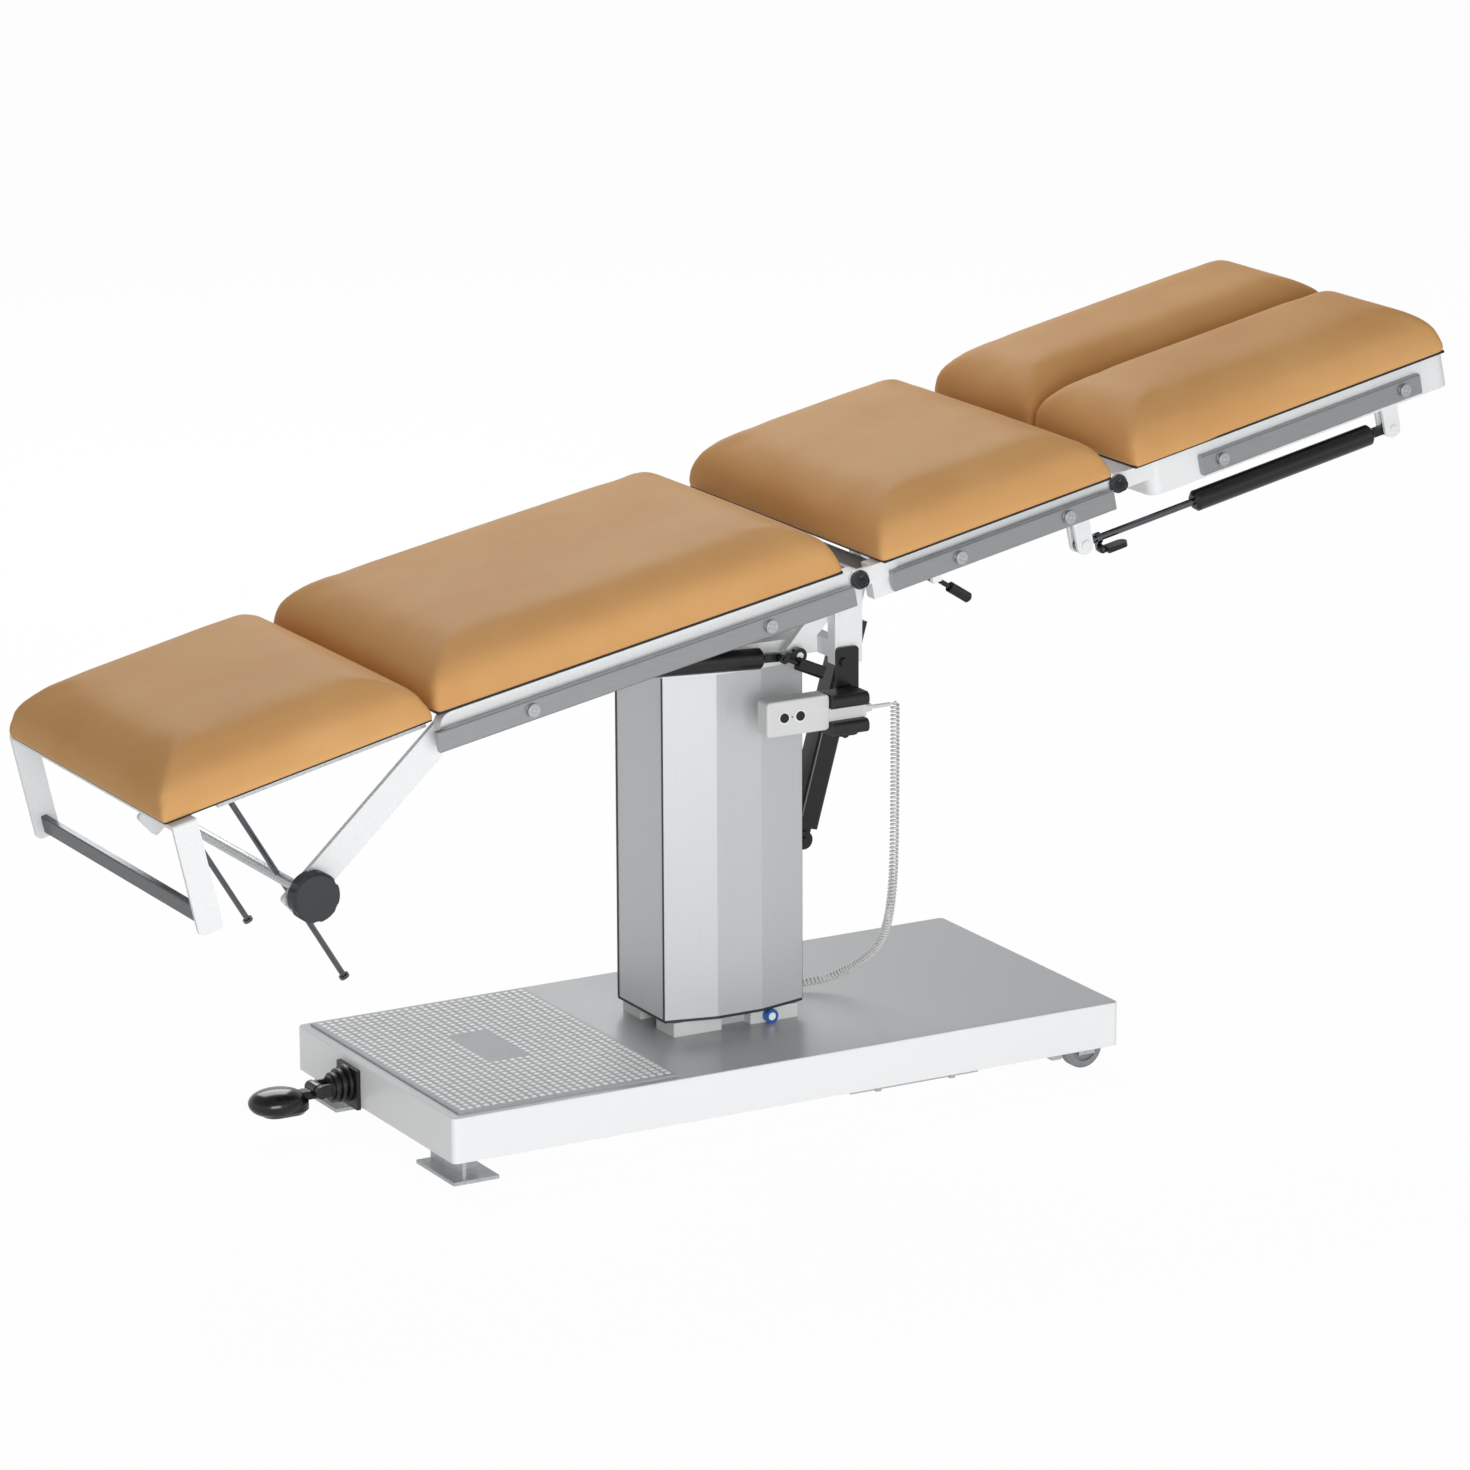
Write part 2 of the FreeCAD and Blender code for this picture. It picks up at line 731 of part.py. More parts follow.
def makeInnerColumn():
    inner = Piece("inner_column")
    middle = baseTop + " + innerColumnHeight / 2"
    bar(inner, "XY", ("0", "0", middle), "innerColumnLength", "innerColumnWidth", "innerColumnHeight")
    padLevel = baseTop + " + innerColumnHeight - glidePadHeight / 2 - 4"
    bar(inner, "XY", ("0", "0", padLevel), "columnLength - 2 * columnSheet - 2 * partGap", "glidePadWidth",
        "glidePadHeight")
    bar(inner, "XY", ("0", "0", padLevel), "glidePadWidth", "columnWidth - 2 * columnSheet - 2 * partGap",
        "glidePadHeight")
    inner.pocket(inner.rect("XY", ("0", "0", middle), "innerColumnLength - 2 * innerColumnWall",
                            "innerColumnWidth - 2 * innerColumnWall"), "innerColumnHeight + 4")
    inner.fillet("4", (0, 0, 1), lambda p: abs(abs(p.x) - read("innerColumnLength") / 2) < 1)
    plinth = Piece("column_plinth_blocks")
    middle = baseTop + " + plinthHeight / 2"
    bar(plinth, "XY", ("0", "0", middle), "plinthLength", "plinthWidth", "plinthHeight")
    plinth.pocket(plinth.rect("XY", ("0", "0", middle), "innerColumnLength", "innerColumnWidth"),
                  "plinthHeight + 4")
    plinth.pocket(plinth.rect("XY", ("0", "0", middle), "plinthSlot", "plinthWidth + 4"), "plinthHeight + 4")
    plinth.pocket(plinth.rect("XY", ("0", "0", middle), "plinthLength + 4", "plinthSlot"), "plinthHeight + 4")


def makeLiftDrive():
    # Gear motor on the base with a guide tube, and the spindle that hangs from the carrier.
    motor = Piece("lift_motor")
    rod(motor, "XY", ("0", "0", baseTop + " + motorLength / 2"), "motorDiameter", "motorLength")
    rod(motor, "XY", ("0", "0", baseTop + " + innerColumnHeight / 2"), "spindleDiameter + 16",
        "innerColumnHeight")
    hole(motor, "XY", ("0", "0", baseTop + " + innerColumnHeight / 2 + 10"),
         "spindleDiameter + 2 * partGap", "innerColumnHeight - 10")
    spindle = Piece("lift_spindle")
    top = "(columnBottom + columnHeight)"
    rod(spindle, "XY", ("0", "0", top + " - spindleLength / 2"), "spindleDiameter", "spindleLength")
    rod(spindle, "XY", ("0", "0", top + " - 5"), "spindleDiameter + 26", "10")


def makeSocket():
    socket = Piece("earth_socket")
    rod(socket, "XZ", ("socketX", "-(plinthWidth / 2) - socketLength / 2", baseTop + " + socketDiameter / 2"),
        "socketDiameter", "socketLength")
    hole(socket, "XZ", ("socketX", "-(plinthWidth / 2) - socketLength", baseTop + " + socketDiameter / 2"),
         "socketDiameter - 8", "socketLength")


def makeCarrier():
    # Beam across the cap with two upright posts beside the tilt lugs.
    carrier = Piece("tilt_carrier")
    top = "(columnBottom + columnHeight)"
    carrier.pad(carrier.outline("XY", ("0", "0", top + " + columnCapThickness / 2"), columnOutline),
                "columnCapThickness")
    low = "(columnBottom + columnHeight + columnCapThickness)"
    end = "(tiltX + postLength / 2)"
    bar(carrier, "XY", ("(carrierBeamStart + tiltX - postLength / 2) / 2", "0", low + " + 12"),
        "tiltX - postLength / 2 - carrierBeamStart", "140", "24")
    for sign in sides.values():
        side = sign + "postSide"
        bar(carrier, "XZ", ("tiltX", side, "(postBottom + tiltZ) / 2"),
            "postLength", "tiltZ - postBottom", "postThickness")
        rod(carrier, "XZ", ("tiltX", side, "tiltZ"), "postLength", "postThickness")
    bar(carrier, "XY", ("tiltX - postLength / 4", "0", low + " + 12"),
        "postLength / 2", "2 * postSide - postThickness + 2", "24")
    length = "(postThickness + tiltLugThickness + tiltLugGap + 10)"
    for sign in sides.values():
        rod(carrier, "XZ", ("tiltX", sign + "(postSide + postThickness / 2 - %s / 2)" % length, "tiltZ"),
            "tiltPinDiameter", length)


def makeHolder():
    plate = Piece("holder_plate")
    side = "-(postSide + postThickness / 2 + holderPlateThickness / 2)"
    bar(plate, "XZ", ("holderPlateX", side, "handsetZ + 20"),
        "holderPlateLength", "holderPlateHeight + 34", "holderPlateThickness")
    plate.fillet("6", (0, 1, 0))
    fork = Piece("handset_fork")
    back = "(-(postSide + postThickness / 2 + holderPlateThickness) - prongDepth / 2)"
    for sign in ("-", "+"):
        at = ("prongX", back, "handsetZ %s (prongGap / 2 + prongHeight / 2)" % sign)
        bar(fork, "YZ", at, "prongDepth", "prongHeight", "prongLength")
    fork.fillet("prongRadius", (1, 0, 0))
    web = "-(postSide + postThickness / 2 + holderPlateThickness) - 3"
    bar(fork, "XZ", ("prongX", web, "handsetZ"), "prongLength - 20", "prongGap + 20", "6")
    face = "-(postSide + postThickness / 2 + holderPlateThickness + screwHeadHeight / 2)"
    for place in ("handsetZ - 38", "handsetZ + 62"):
        rod(plate, "XZ", ("holderPlateX - 6", face, place), "screwHeadDiameter", "screwHeadHeight")


def makeHandset():
    handset = Piece("handset")
    bar(handset, "XZ", ("handsetX", "handsetY", "handsetZ + handsetLift"), "handsetLength",
        "handsetHeight", "handsetDepth")
    handset.fillet("handsetRadius", (0, 1, 0))
    handset.fillet("3", None, lambda p: p.y < read("handsetY") - read("handsetDepth") / 2 + 0.1)
    bar(handset, "YZ", ("handsetX + handsetLength / 2 + handsetNeckLength / 2 - 2", "handsetY", "handsetZ"),
        "handsetNeckDepth", "handsetNeckHeight", "handsetNeckLength + 4")
    face = "handsetY - handsetDepth / 2"
    for sign in ("-", "+"):
        at = ("handsetX - 10 %s buttonSpacing / 2" % sign, face, "handsetZ + handsetLift + 1")
        hole(handset, "XZ", at, "buttonDiameter + 2 * buttonGap", "2 * buttonLength + 2")
    buttons = (("handset_button_down", "-"), ("handset_button_up", "+"))
    for label, sign in buttons:
        button = Piece(label)
        at = ("handsetX - 10 %s buttonSpacing / 2" % sign,
              face + " - buttonProud + (buttonLength - buttonTravel) / 2", "handsetZ + handsetLift + 1")
        rod(button, "XZ", at, "buttonDiameter", "buttonLength - buttonTravel")
    strain = Piece("cord_strain_relief")
    start = "handsetX + handsetLength / 2 + handsetNeckLength"
    rod(strain, "YZ", (start + " + strainLength / 2", "handsetY", "handsetZ"),
        "strainDiameter", "strainLength")
    rod(strain, "YZ", (start + " + strainLength + cordTailLength / 2", "handsetY", "handsetZ"),
        "cordTailDiameter", "cordTailLength")


# Places on the sections, measured from the pivot of the section.
def localTo(pivotX, pivotZ, angle, x, z):
    across = "((%s - %s) * cos(%s * 1 deg) + (%s - %s) * sin(%s * 1 deg))" % (x, pivotX, angle, z, pivotZ, angle)
    up = "((%s - %s) * cos(%s * 1 deg) - (%s - %s) * sin(%s * 1 deg))" % (z, pivotZ, angle, x, pivotX, angle)
    return across, up


def inSeat(x, z):
    return localTo("backPivotX", "backPivotZ", "seatAngle", x, z)


def inBack(x, z):
    return localTo("backPivotX", "backPivotZ", "backAngle", x, z)


def inHead(x, z):
    return localTo("headBoardX", "headBoardZ", "headAngle", x, z)


tubeHeight = "(tubeTop - tubeBottom)"
tubeMiddle = "((tubeTop + tubeBottom) / 2)"
crossLevel = "(tubeBottom + crossTubeHeight / 2)"
railLevel = "(railTop - railHeight / 2)"
railInner = "(railOuterSide - railThickness)"


# Crown of a cushion: shares of the slope and of the rise, from the side band to the flat top.
crown = ((0, 0), (0.07, 0.34), (0.24, 0.64), (0.52, 0.88), (1, 1))


def makeCushion(label, frame, start, end, middle, width, slope, bottom):
    # Flat sided pillow whose top curves in from all four seams.
    cushion = Piece(label, frame)
    centre = "(%s + %s) / 2" % (start, end)
    length = "%s - %s" % (end, start)
    bar(cushion, "XY", (centre, middle, bottom + " + cushionSide / 2"), length, width, "cushionSide")
    levels = []
    for inward, rise in crown:
        height = "%s + cushionSide + %s * (cushionHeight - cushionSide)" % (bottom, rise)
        levels.append(cushion.rect("XY", (centre, middle, height),
                                   "%s - %s * 2 * %s" % (length, inward, slope),
                                   "%s - %s * 1.9 * %s" % (width, inward, slope)))
    cushion.loft(levels[0], levels[1:])
    return cushion


def addBosses(piece, places, outer):
    # Round bosses that hold a rail away from the side tube.
    for sign in sides.values():
        for place in places:
            rod(piece, "XZ", (place, "%s((%s + %s) / 2)" % (sign, outer, railInner), railLevel),
                "screwRimDiameter", "%s - %s" % (railInner, outer))


def makeRails(label, frame, start, end, places, signs):
    rails = Piece(label, frame)
    for sign in signs:
        side = sign + "(railOuterSide - railThickness / 2)"
        bar(rails, "XZ", ("(%s + %s) / 2" % (start, end), side, railLevel),
            "%s - %s" % (end, start), "railHeight", "railThickness")
    rails.chamfer("1.5", (1, 0, 0))
    for sign in signs:
        for place in places:
            rod(rails, "XZ", (place, sign + "(railOuterSide + screwRimHeight / 2)", railLevel),
                "screwRimDiameter", "screwRimHeight")
            rod(rails, "XZ", (place, sign + "(railOuterSide + 1.5 * screwRimHeight)", railLevel),
                "screwRimDiameter / 2", "screwRimHeight")


def addLugPair(piece, x, y, top, bottom, gap, width, hole_):
    # Two hanging plates with a bore through both.
    for cheek in ("-", "+"):
        side = "%s %s (%s / 2 + springLugThickness / 2)" % (y, cheek, gap)
        bar(piece, "XZ", (x, side, "(%s + %s) / 2" % (top, bottom)), width, "%s - %s" % (top, bottom),
            "springLugThickness")
        rod(piece, "XZ", (x, side, bottom), width, "springLugThickness")
    if hole_:
        hole(piece, "XZ", (x, y, bottom), hole_, gap + " + 4 * springLugThickness")


def addPinHeads(piece, x, y, z, gap, diameter):
    # Heads on the outer faces of a pair of lugs whose eye is held by the other piece.
    for cheek in ("-", "+"):
        side = "%s %s (%s / 2 + 1.35 * springLugThickness)" % (y, cheek, gap)
        rod(piece, "XZ", (x, side, z), diameter, "0.7 * springLugThickness")


def makeSeatFrame():
    seat = Piece("seat_frame", seatFrame)
    middle = "(seatTubeStart + seatTubeEnd) / 2"
    for sign in sides.values():
        bar(seat, "XZ", (middle, sign + "(tubeOuterSide - tubeWidth / 2)", tubeMiddle),
            "seatTubeEnd - seatTubeStart", tubeHeight, "tubeWidth")
        plate = sign + "(tubeOuterSide + hingePlateThickness / 2)"
        bar(seat, "XZ", ("30", plate, "0"), "60", "hingePlateHeight", "hingePlateThickness")
        rod(seat, "XZ", ("0", plate, "0"), "hingePlateHeight", "hingePlateThickness")
        end = sign + "(tubeOuterSide - tubeWidth / 2)"
        bar(seat, "XZ", ("legPivotReach - 14", end, "0"), "28", "hingePlateHeight", "tubeWidth")
        rod(seat, "XZ", ("legPivotReach", end, "0"), "hingePlateHeight", "tubeWidth")
    tiltU, tiltV = inSeat("tiltX", "tiltZ")
    headU, headV = inSeat("actuatorHeadX", "actuatorHeadZ")
    for place in (tiltU, headU, "(legSpringAnchor + 6)"):
        bar(seat, "XZ", (place, "0", crossLevel), "crossTubeWidth", "crossTubeHeight",
            "2 * (tubeOuterSide - tubeWidth) + 4")
    for sign in sides.values():
        lug = sign + "(postSide - postThickness / 2 - tiltLugGap - tiltLugThickness / 2)"
        bar(seat, "XZ", (tiltU, lug, "(%s + tubeBottom + 4) / 2" % tiltV),
            "crossTubeWidth", "tubeBottom + 4 - %s" % tiltV, "tiltLugThickness")
        rod(seat, "XZ", (tiltU, lug, tiltV), "crossTubeWidth", "tiltLugThickness")
        addLugPair(seat, "legSpringAnchor", sign + "legSpringSide", "(tubeBottom + 4)", "(-legSpringDrop)",
                   "(springRodDiameter + 2)", "springLugWidth", None)
        addPinHeads(seat, "legSpringAnchor", sign + "legSpringSide", "-legSpringDrop",
                    "(springRodDiameter + 2)", "springPinDiameter + 4")
    anchorU, anchorV = inSeat("backSpringAnchorX", "backSpringAnchorZ")
    near = "-(postSide - postThickness / 2 - tiltLugGap - tiltLugThickness / 2)"
    seat.pad(seat.outline("XZ", ("0", near, "0"), [
        (tiltU + " - 9", tiltV + " + 12"), (anchorU + " - 6", anchorV + " + 11"),
        (anchorU + " + 6", anchorV + " - 11"), (tiltU + " + 9", tiltV + " - 12")]), "tiltLugThickness")
    rod(seat, "XZ", (anchorU, near, anchorV), "springLugWidth", "tiltLugThickness")
    rod(seat, "XZ", (anchorU, "-backSpringSide + 8", anchorV), "springPinDiameter", "26")
    hole(seat, "XZ", (tiltU, "0", tiltV), "tiltPinDiameter + 2 * runningGap", "2 * postSide")
    addLugPair(seat, headU, "0", "(tubeBottom + 4)", headV, "(actuatorEye + 2)", "springLugWidth", None)
    addPinHeads(seat, headU, "0", headV, "(actuatorEye + 2)", "actuatorPinDiameter + 4")
    for place in ("0", "legPivotReach"):
        hole(seat, "XZ", (place, "0", "0"), "hingeShaftDiameter", "700")
    rod(seat, "XZ", ("leverStart", "-(leverSide - 13)", "tubeBottom - 8"), "8", "27")
    bar(seat, "XY", ("leverStart", "-(leverSide + 3)", "tubeBottom - 6"), "14", "8", "16")
    addBosses(seat, ("seatScrewFirst", "seatScrewSecond"), "tubeOuterSide")


def makeHingeParts():
    shafts = Piece("hinge_shafts", seatFrame)
    for place in ("0", "legPivotReach"):
        rod(shafts, "XZ", (place, "0", "0"), "hingeShaftDiameter",
            "2 * (tubeOuterSide + hingePlateThickness)")
        for sign in sides.values():
            at = (place, sign + "(tubeOuterSide + hingePlateThickness + capThickness / 2)", "0")
            rod(shafts, "XZ", at, "capDiameter", "capThickness")
    shafts.chamfer("2", None, lambda p: abs(p.y) > read("tubeOuterSide") + read("hingePlateThickness") + 1)


def makeSeatLever():
    lever = Piece("seat_lever", shifted(seatFrame, read("leverStart"), 0, read("tubeBottom") - 8).multiply(
        FreeCAD.Placement(V(), FreeCAD.Rotation(V(0, 1, 0), read("leverAngle")))))
    side = "-(leverSide - 8)"
    rod(lever, "XZ", ("0", side, "0"), "16", "8")
    hole(lever, "XZ", ("0", side, "0"), "8 + 2 * runningGap", "20")
    rod(lever, "YZ", ("(leverReach - leverGripLength) / 2 + 5", side, "0"),
        "leverRodDiameter", "leverReach - leverGripLength")
    rod(lever, "YZ", ("leverReach - leverGripLength / 2", side, "0"), "leverGripDiameter", "leverGripLength")
    lever.chamfer("3", None, lambda p: p.x > read("leverReach") - 1)


def makeBackFrame():
    back = Piece("back_frame", backFrame)
    outer = "(tubeOuterSide - partGap)"
    for sign in sides.values():
        side = "%s(%s - tubeWidth / 2)" % (sign, outer)
        bar(back, "XZ", ("-(backTubeStart + backTubeEnd) / 2", side, tubeMiddle),
            "backTubeEnd - backTubeStart", tubeHeight, "tubeWidth")
    corner = -read("backTubeEnd") + 1
    back.fillet("backCornerRadius", (0, 1, 0), lambda p: p.x < corner and p.z > 0)
    for sign in sides.values():
        side = "%s(%s - tubeWidth / 2)" % (sign, outer)
        bar(back, "XZ", ("-14", side, "0"), "28", "hingePlateHeight", "tubeWidth")
        rod(back, "XZ", ("0", side, "0"), "hingePlateHeight", "tubeWidth")
    lugU, lugV = inBack("backSpringLugX", "backSpringLugZ")
    for place in ("(-backEndCross)", lugU):
        bar(back, "XZ", (place, "0", crossLevel), "crossTubeWidth", "crossTubeHeight",
            "2 * (%s - tubeWidth) + 4" % outer)
    addLugPair(back, lugU, "-backSpringSide", "(tubeBottom + 4)", lugV, "(springRodDiameter + 2)",
               "springLugWidth", None)
    addPinHeads(back, lugU, "-backSpringSide", lugV, "(springRodDiameter + 2)", "springPinDiameter + 4")
    hole(back, "XZ", ("0", "0", "0"), "hingeShaftDiameter + 2 * runningGap", "700")
    addBosses(back, ("-backScrewFirst", "-backScrewSecond"), outer)


def makeHeadArms():
    top = backFrame.multVec(V(-read("backTubeEnd") + 26, 0, (read("tubeTop") + read("tubeBottom")) / 2))
    frame = lineFrame(read("headShaftX"), read("headShaftZ"), top.x, top.z)
    reach = math.hypot(top.x - read("headShaftX"), top.z - read("headShaftZ"))
    arms = Piece("head_arms", frame)
    for sign in sides.values():
        side = sign + "(tubeOuterSide - partGap - tubeWidth - armThickness / 2)"
        bar(arms, "XZ", ("%.4f / 2 - 11" % reach, side, "0"), "%.4f + 40" % reach, "armWidth",
            "armThickness")
    arms.fillet("6", (0, 1, 0))
    hole(arms, "XZ", ("0", "0", "0"), "headShaftDiameter + 2 * runningGap", "600")


def makeHeadShaft():
    shaft = Piece("head_shaft", shaftFrame)
    rod(shaft, "XZ", ("0", "8", "0"), "headShaftDiameter", "headShaftLength - 16")
    rod(shaft, "XZ", ("0", "headShaftLength / 2 - 3", "0"), "headShaftDiameter + 12", "6")
    rod(shaft, "XZ", ("0", "-(headShaftLength / 2) + 7.5", "0"), "headShaftDiameter - 4", "17")
    for sign in sides.values():
        hole(shaft, "XY", ("0", sign + "headRodSide", "0"), "headRodDiameter + 2 * runningGap", "60")
    knob = Piece("head_knob", shaftFrame)
    middle = "-(headShaftLength / 2 - 14 + knobThickness / 2)"
    rod(knob, "XZ", ("0", middle, "0"), "knobDiameter", "knobThickness")
    knob.chamfer("4")
    for number in range(int(read("knobLobes"))):
        turn = "%d * 360 / knobLobes * 1 deg" % number
        at = ("(knobDiameter / 2 + knobLobeOut) * cos(%s)" % turn, middle,
              "(knobDiameter / 2 + knobLobeOut) * sin(%s)" % turn)
        hole(knob, "XZ", at, "2 * knobLobeRadius", "knobThickness + 4")
    hole(knob, "XZ", ("0", "-(headShaftLength / 2) + 7", "0"), "headShaftDiameter - 4 + 2 * runningGap", "18")


def makeHead():
    plate = Piece("head_plate", headFrame)
    bar(plate, "XY", ("35", "0", "-headPlateThickness / 2"), "headPlateLength", "headPlateWidth",
        "headPlateThickness")
    shaftU, shaftV = inHead("headShaftX", "headShaftZ")
    lean = "((headRodAngle - headAngle) * 1 deg)"
    rise = "(-headPlateThickness - %s)" % shaftV
    footU = "(%s - tan(%s) * %s)" % (shaftU, lean, rise)
    lowU = "(%s + sin(%s) * 22)" % (footU, lean)
    lowV = "(-headPlateThickness - cos(%s) * 22)" % lean
    for sign in sides.values():
        plate.pad(plate.outline("XZ", ("0", sign + "headRodSide", "0"), [
            (footU + " - 15", "-headPlateThickness / 2"), (footU + " + 15", "-headPlateThickness / 2"),
            ("%s + 12 * cos(%s)" % (lowU, lean), "%s + 12 * sin(%s)" % (lowV, lean)),
            ("%s - 12 * cos(%s)" % (lowU, lean), "%s - 12 * sin(%s)" % (lowV, lean))]), "24")
    makeCushion("head_cushion", headFrame, "(-headCushionLength / 2)", "headCushionLength / 2", "0",
                "headCushionWidth", "headCushionSlope", "0")
    rods = Piece("head_rods", shaftFrame)
    above = "(%s / cos(%s) - 22)" % (rise, lean)
    for sign in sides.values():
        at = ("0", sign + "headRodSide", "(%s - headRodBelow) / 2" % above)
        rod(rods, "XY", at, "headRodDiameter", "%s + headRodBelow" % above)
        rod(rods, "XY", ("0", sign + "headRodSide", "-headRodBelow - headRodHeadHeight / 2"),
            "headRodHead", "headRodHeadHeight")


def makeHeadBracket():
    bracket = Piece("head_bracket", headFrame)
    middle = "(bracketStart - bracketWidth / 2 + 12)"
    bar(bracket, "XY", (middle, "0", "-bracketThickness / 2"), "bracketWidth", "2 * bracketSide",
        "bracketThickness")
    for sign in sides.values():
        bar(bracket, "XZ", (middle, sign + "(bracketSide - bracketThickness / 2)", "-bracketHeight / 2"),
            "bracketWidth", "bracketHeight", "bracketThickness")
    low = -read("bracketHeight") + 1
    bracket.fillet("8", (0, 1, 0), lambda p: p.z < low)
    bracket.fillet("4", (1, 0, 0), lambda p: p.z > -0.1)
    rail = Piece("head_rail", headFrame)
    bar(rail, "XZ", (middle, "0", "-bracketHeight + bracketRailHeight / 2 + 6"), "bracketRailDepth",
        "bracketRailHeight", "2 * (bracketSide - bracketThickness)")
    rail.chamfer("1.5", (0, 1, 0))


def makeLeg(name, sign):
    frame = Piece("leg_frame_" + name, legFrame)
    outer = "(tubeOuterSide + partGap + hingePlateThickness)"
    middleY = "%s((legInnerSide + %s) / 2)" % (sign, outer)
    middleX = "((legTubeStart + legTubeEnd) / 2)"
    length = "(legTubeEnd - legTubeStart)"
    width = "(%s - legInnerSide)" % outer
    bar(frame, "XY", (middleX, middleY, tubeMiddle), length, width, tubeHeight)
    frame.fillet("legCornerRadius", (0, 0, 1))
    frame.pocket(frame.rect("XY", (middleX, middleY, tubeMiddle), length + " - 2 * tubeWidth",
                            width + " - 2 * tubeWidth"), tubeHeight + " + 4")
    plates = ("(tubeOuterSide + partGap + hingePlateThickness / 2)", "(legInnerSide + hingePlateThickness / 2)")
    for plate in plates:
        thin = "(hingePlateThickness - 2)" if plate == plates[0] else "hingePlateThickness"
        side = sign + "(%s - 1)" % plate if plate == plates[0] else sign + plate
        bar(frame, "XZ", ("(legTubeStart + 30) / 2", side, "0"), "legTubeStart + 30", "hingePlateHeight", thin)
        rod(frame, "XZ", ("0", side, "0"), "hingePlateHeight", thin)
    hole(frame, "XZ", ("0", "0", "0"), "hingeShaftDiameter + 2 * runningGap", "700")
    addLugPair(frame, "legSpringClevis", sign + "legSpringSide", "(tubeBottom + 4)", "(-legSpringDrop)",
               "(springRodDiameter + 2)", "springLugWidth", None)
    rod(frame, "XZ", ("legSpringClevis", sign + "legSpringSide", "-legSpringDrop"),
        "springPinDiameter", "springRodDiameter + 2 + 3.4 * springLugThickness")
    for place in ("legScrewFirst", "legScrewSecond"):
        rod(frame, "XZ", (place, "%s((%s + %s) / 2)" % (sign, outer, railInner), railLevel),
            "screwRimDiameter", "%s - %s" % (railInner, outer))
    makeCushion("leg_cushion_" + name, legFrame, "legCushionStart", "legCushionEnd",
                "%s(legCushionWidth + legCushionGap) / 2" % sign, "legCushionWidth", "cushionSlope", "tubeTop")
    makeRails("leg_rail_" + name, legFrame, "legRailStart", "legRailEnd",
              ("legScrewFirst", "legScrewSecond"), (sign,))


def makeSpring(name, frame, side, reach, tubeStart, tubeLength, rodInside, rodStart):
    # Gas spring along local X: the tube has its eye at zero and the rod has its eye at the reach.
    tube = Piece(name + "_tube", frame)
    rod(tube, "XZ", ("0", side, "0"), "springPinDiameter + 12", "springRodDiameter - 2")
    bar(tube, "YZ", (tubeStart + " / 2 + 1", side, "0"), "springRodDiameter - 1", "springRodDiameter + 2", tubeStart)
    rod(tube, "YZ", ("%s + %s / 2" % (tubeStart, tubeLength), side, "0"), "springCylinderDiameter", tubeLength)
    first = read(tubeStart)
    last = first + read(tubeLength)
    tube.chamfer("5", None, lambda p: (abs(p.x - first) < 0.01 or abs(p.x - last) < 0.01)
                and abs(math.hypot(p.y - signed(side), p.z) - 15) < 0.01)
    hole(tube, "YZ", ("%s + %s - (%s) / 2" % (tubeStart, tubeLength, rodInside), side, "0"),
         "springRodDiameter + 2 * runningGap", rodInside + " + 2")
    hole(tube, "XZ", ("0", side, "0"), "springPinDiameter + 2 * runningGap", "40")
    inner = Piece(name + "_rod", frame)
    rod(inner, "YZ", ("(%s + %s) / 2" % (rodStart, reach), side, "0"), "springRodDiameter",
        "%s - %s" % (reach, rodStart))
    rod(inner, "XZ", (reach, side, "0"), "springPinDiameter + 14", "springRodDiameter - 2")
    hole(inner, "XZ", (reach, side, "0"), "springPinDiameter + 2", "40")
    return tube


def signed(side):
    value = read(side.strip("-"))
    return -value if side.startswith("-") else value


def makeBackSpring():
    frame = lineFrame(read("backSpringAnchorX"), read("backSpringAnchorZ"),
                      read("backSpringLugX"), read("backSpringLugZ"))
    reach = ("sqrt((backSpringLugX - backSpringAnchorX)^2 + (backSpringLugZ - backSpringAnchorZ)^2)")
    tube = makeSpring("back_spring", frame, "-backSpringSide", reach, "backSpringTubeStart",
                      "backSpringTube", "backSpringTube - 20", "backSpringRodStart")
    rod(tube, "XZ", ("backLeverPivot", "-backSpringSide - 9", "0"), "backLeverPin", "18")
    pivot = frame.multVec(V(read("backLeverPivot"), 0, 0))
    lever = Piece("back_release_lever", boardFrame(pivot.x, pivot.z, -read("backLeverAngle")))
    side = "-backSpringSide - 12"
    rod(lever, "XZ", ("0", side, "0"), "backLeverPin + 8", "8")
    rod(lever, "YZ", ("backLeverStem / 2 + 4", side, "0"), "backLeverPin", "backLeverStem")
    bar(lever, "YZ", ("backLeverStem + backLeverGrip / 2", side, "0"), "13", "18", "backLeverGrip")
    lever.fillet("4", (1, 0, 0), lambda p: p.x > read("backLeverStem") + 1)
    hole(lever, "XZ", ("0", side, "0"), "backLeverPin + 2 * runningGap", "20")


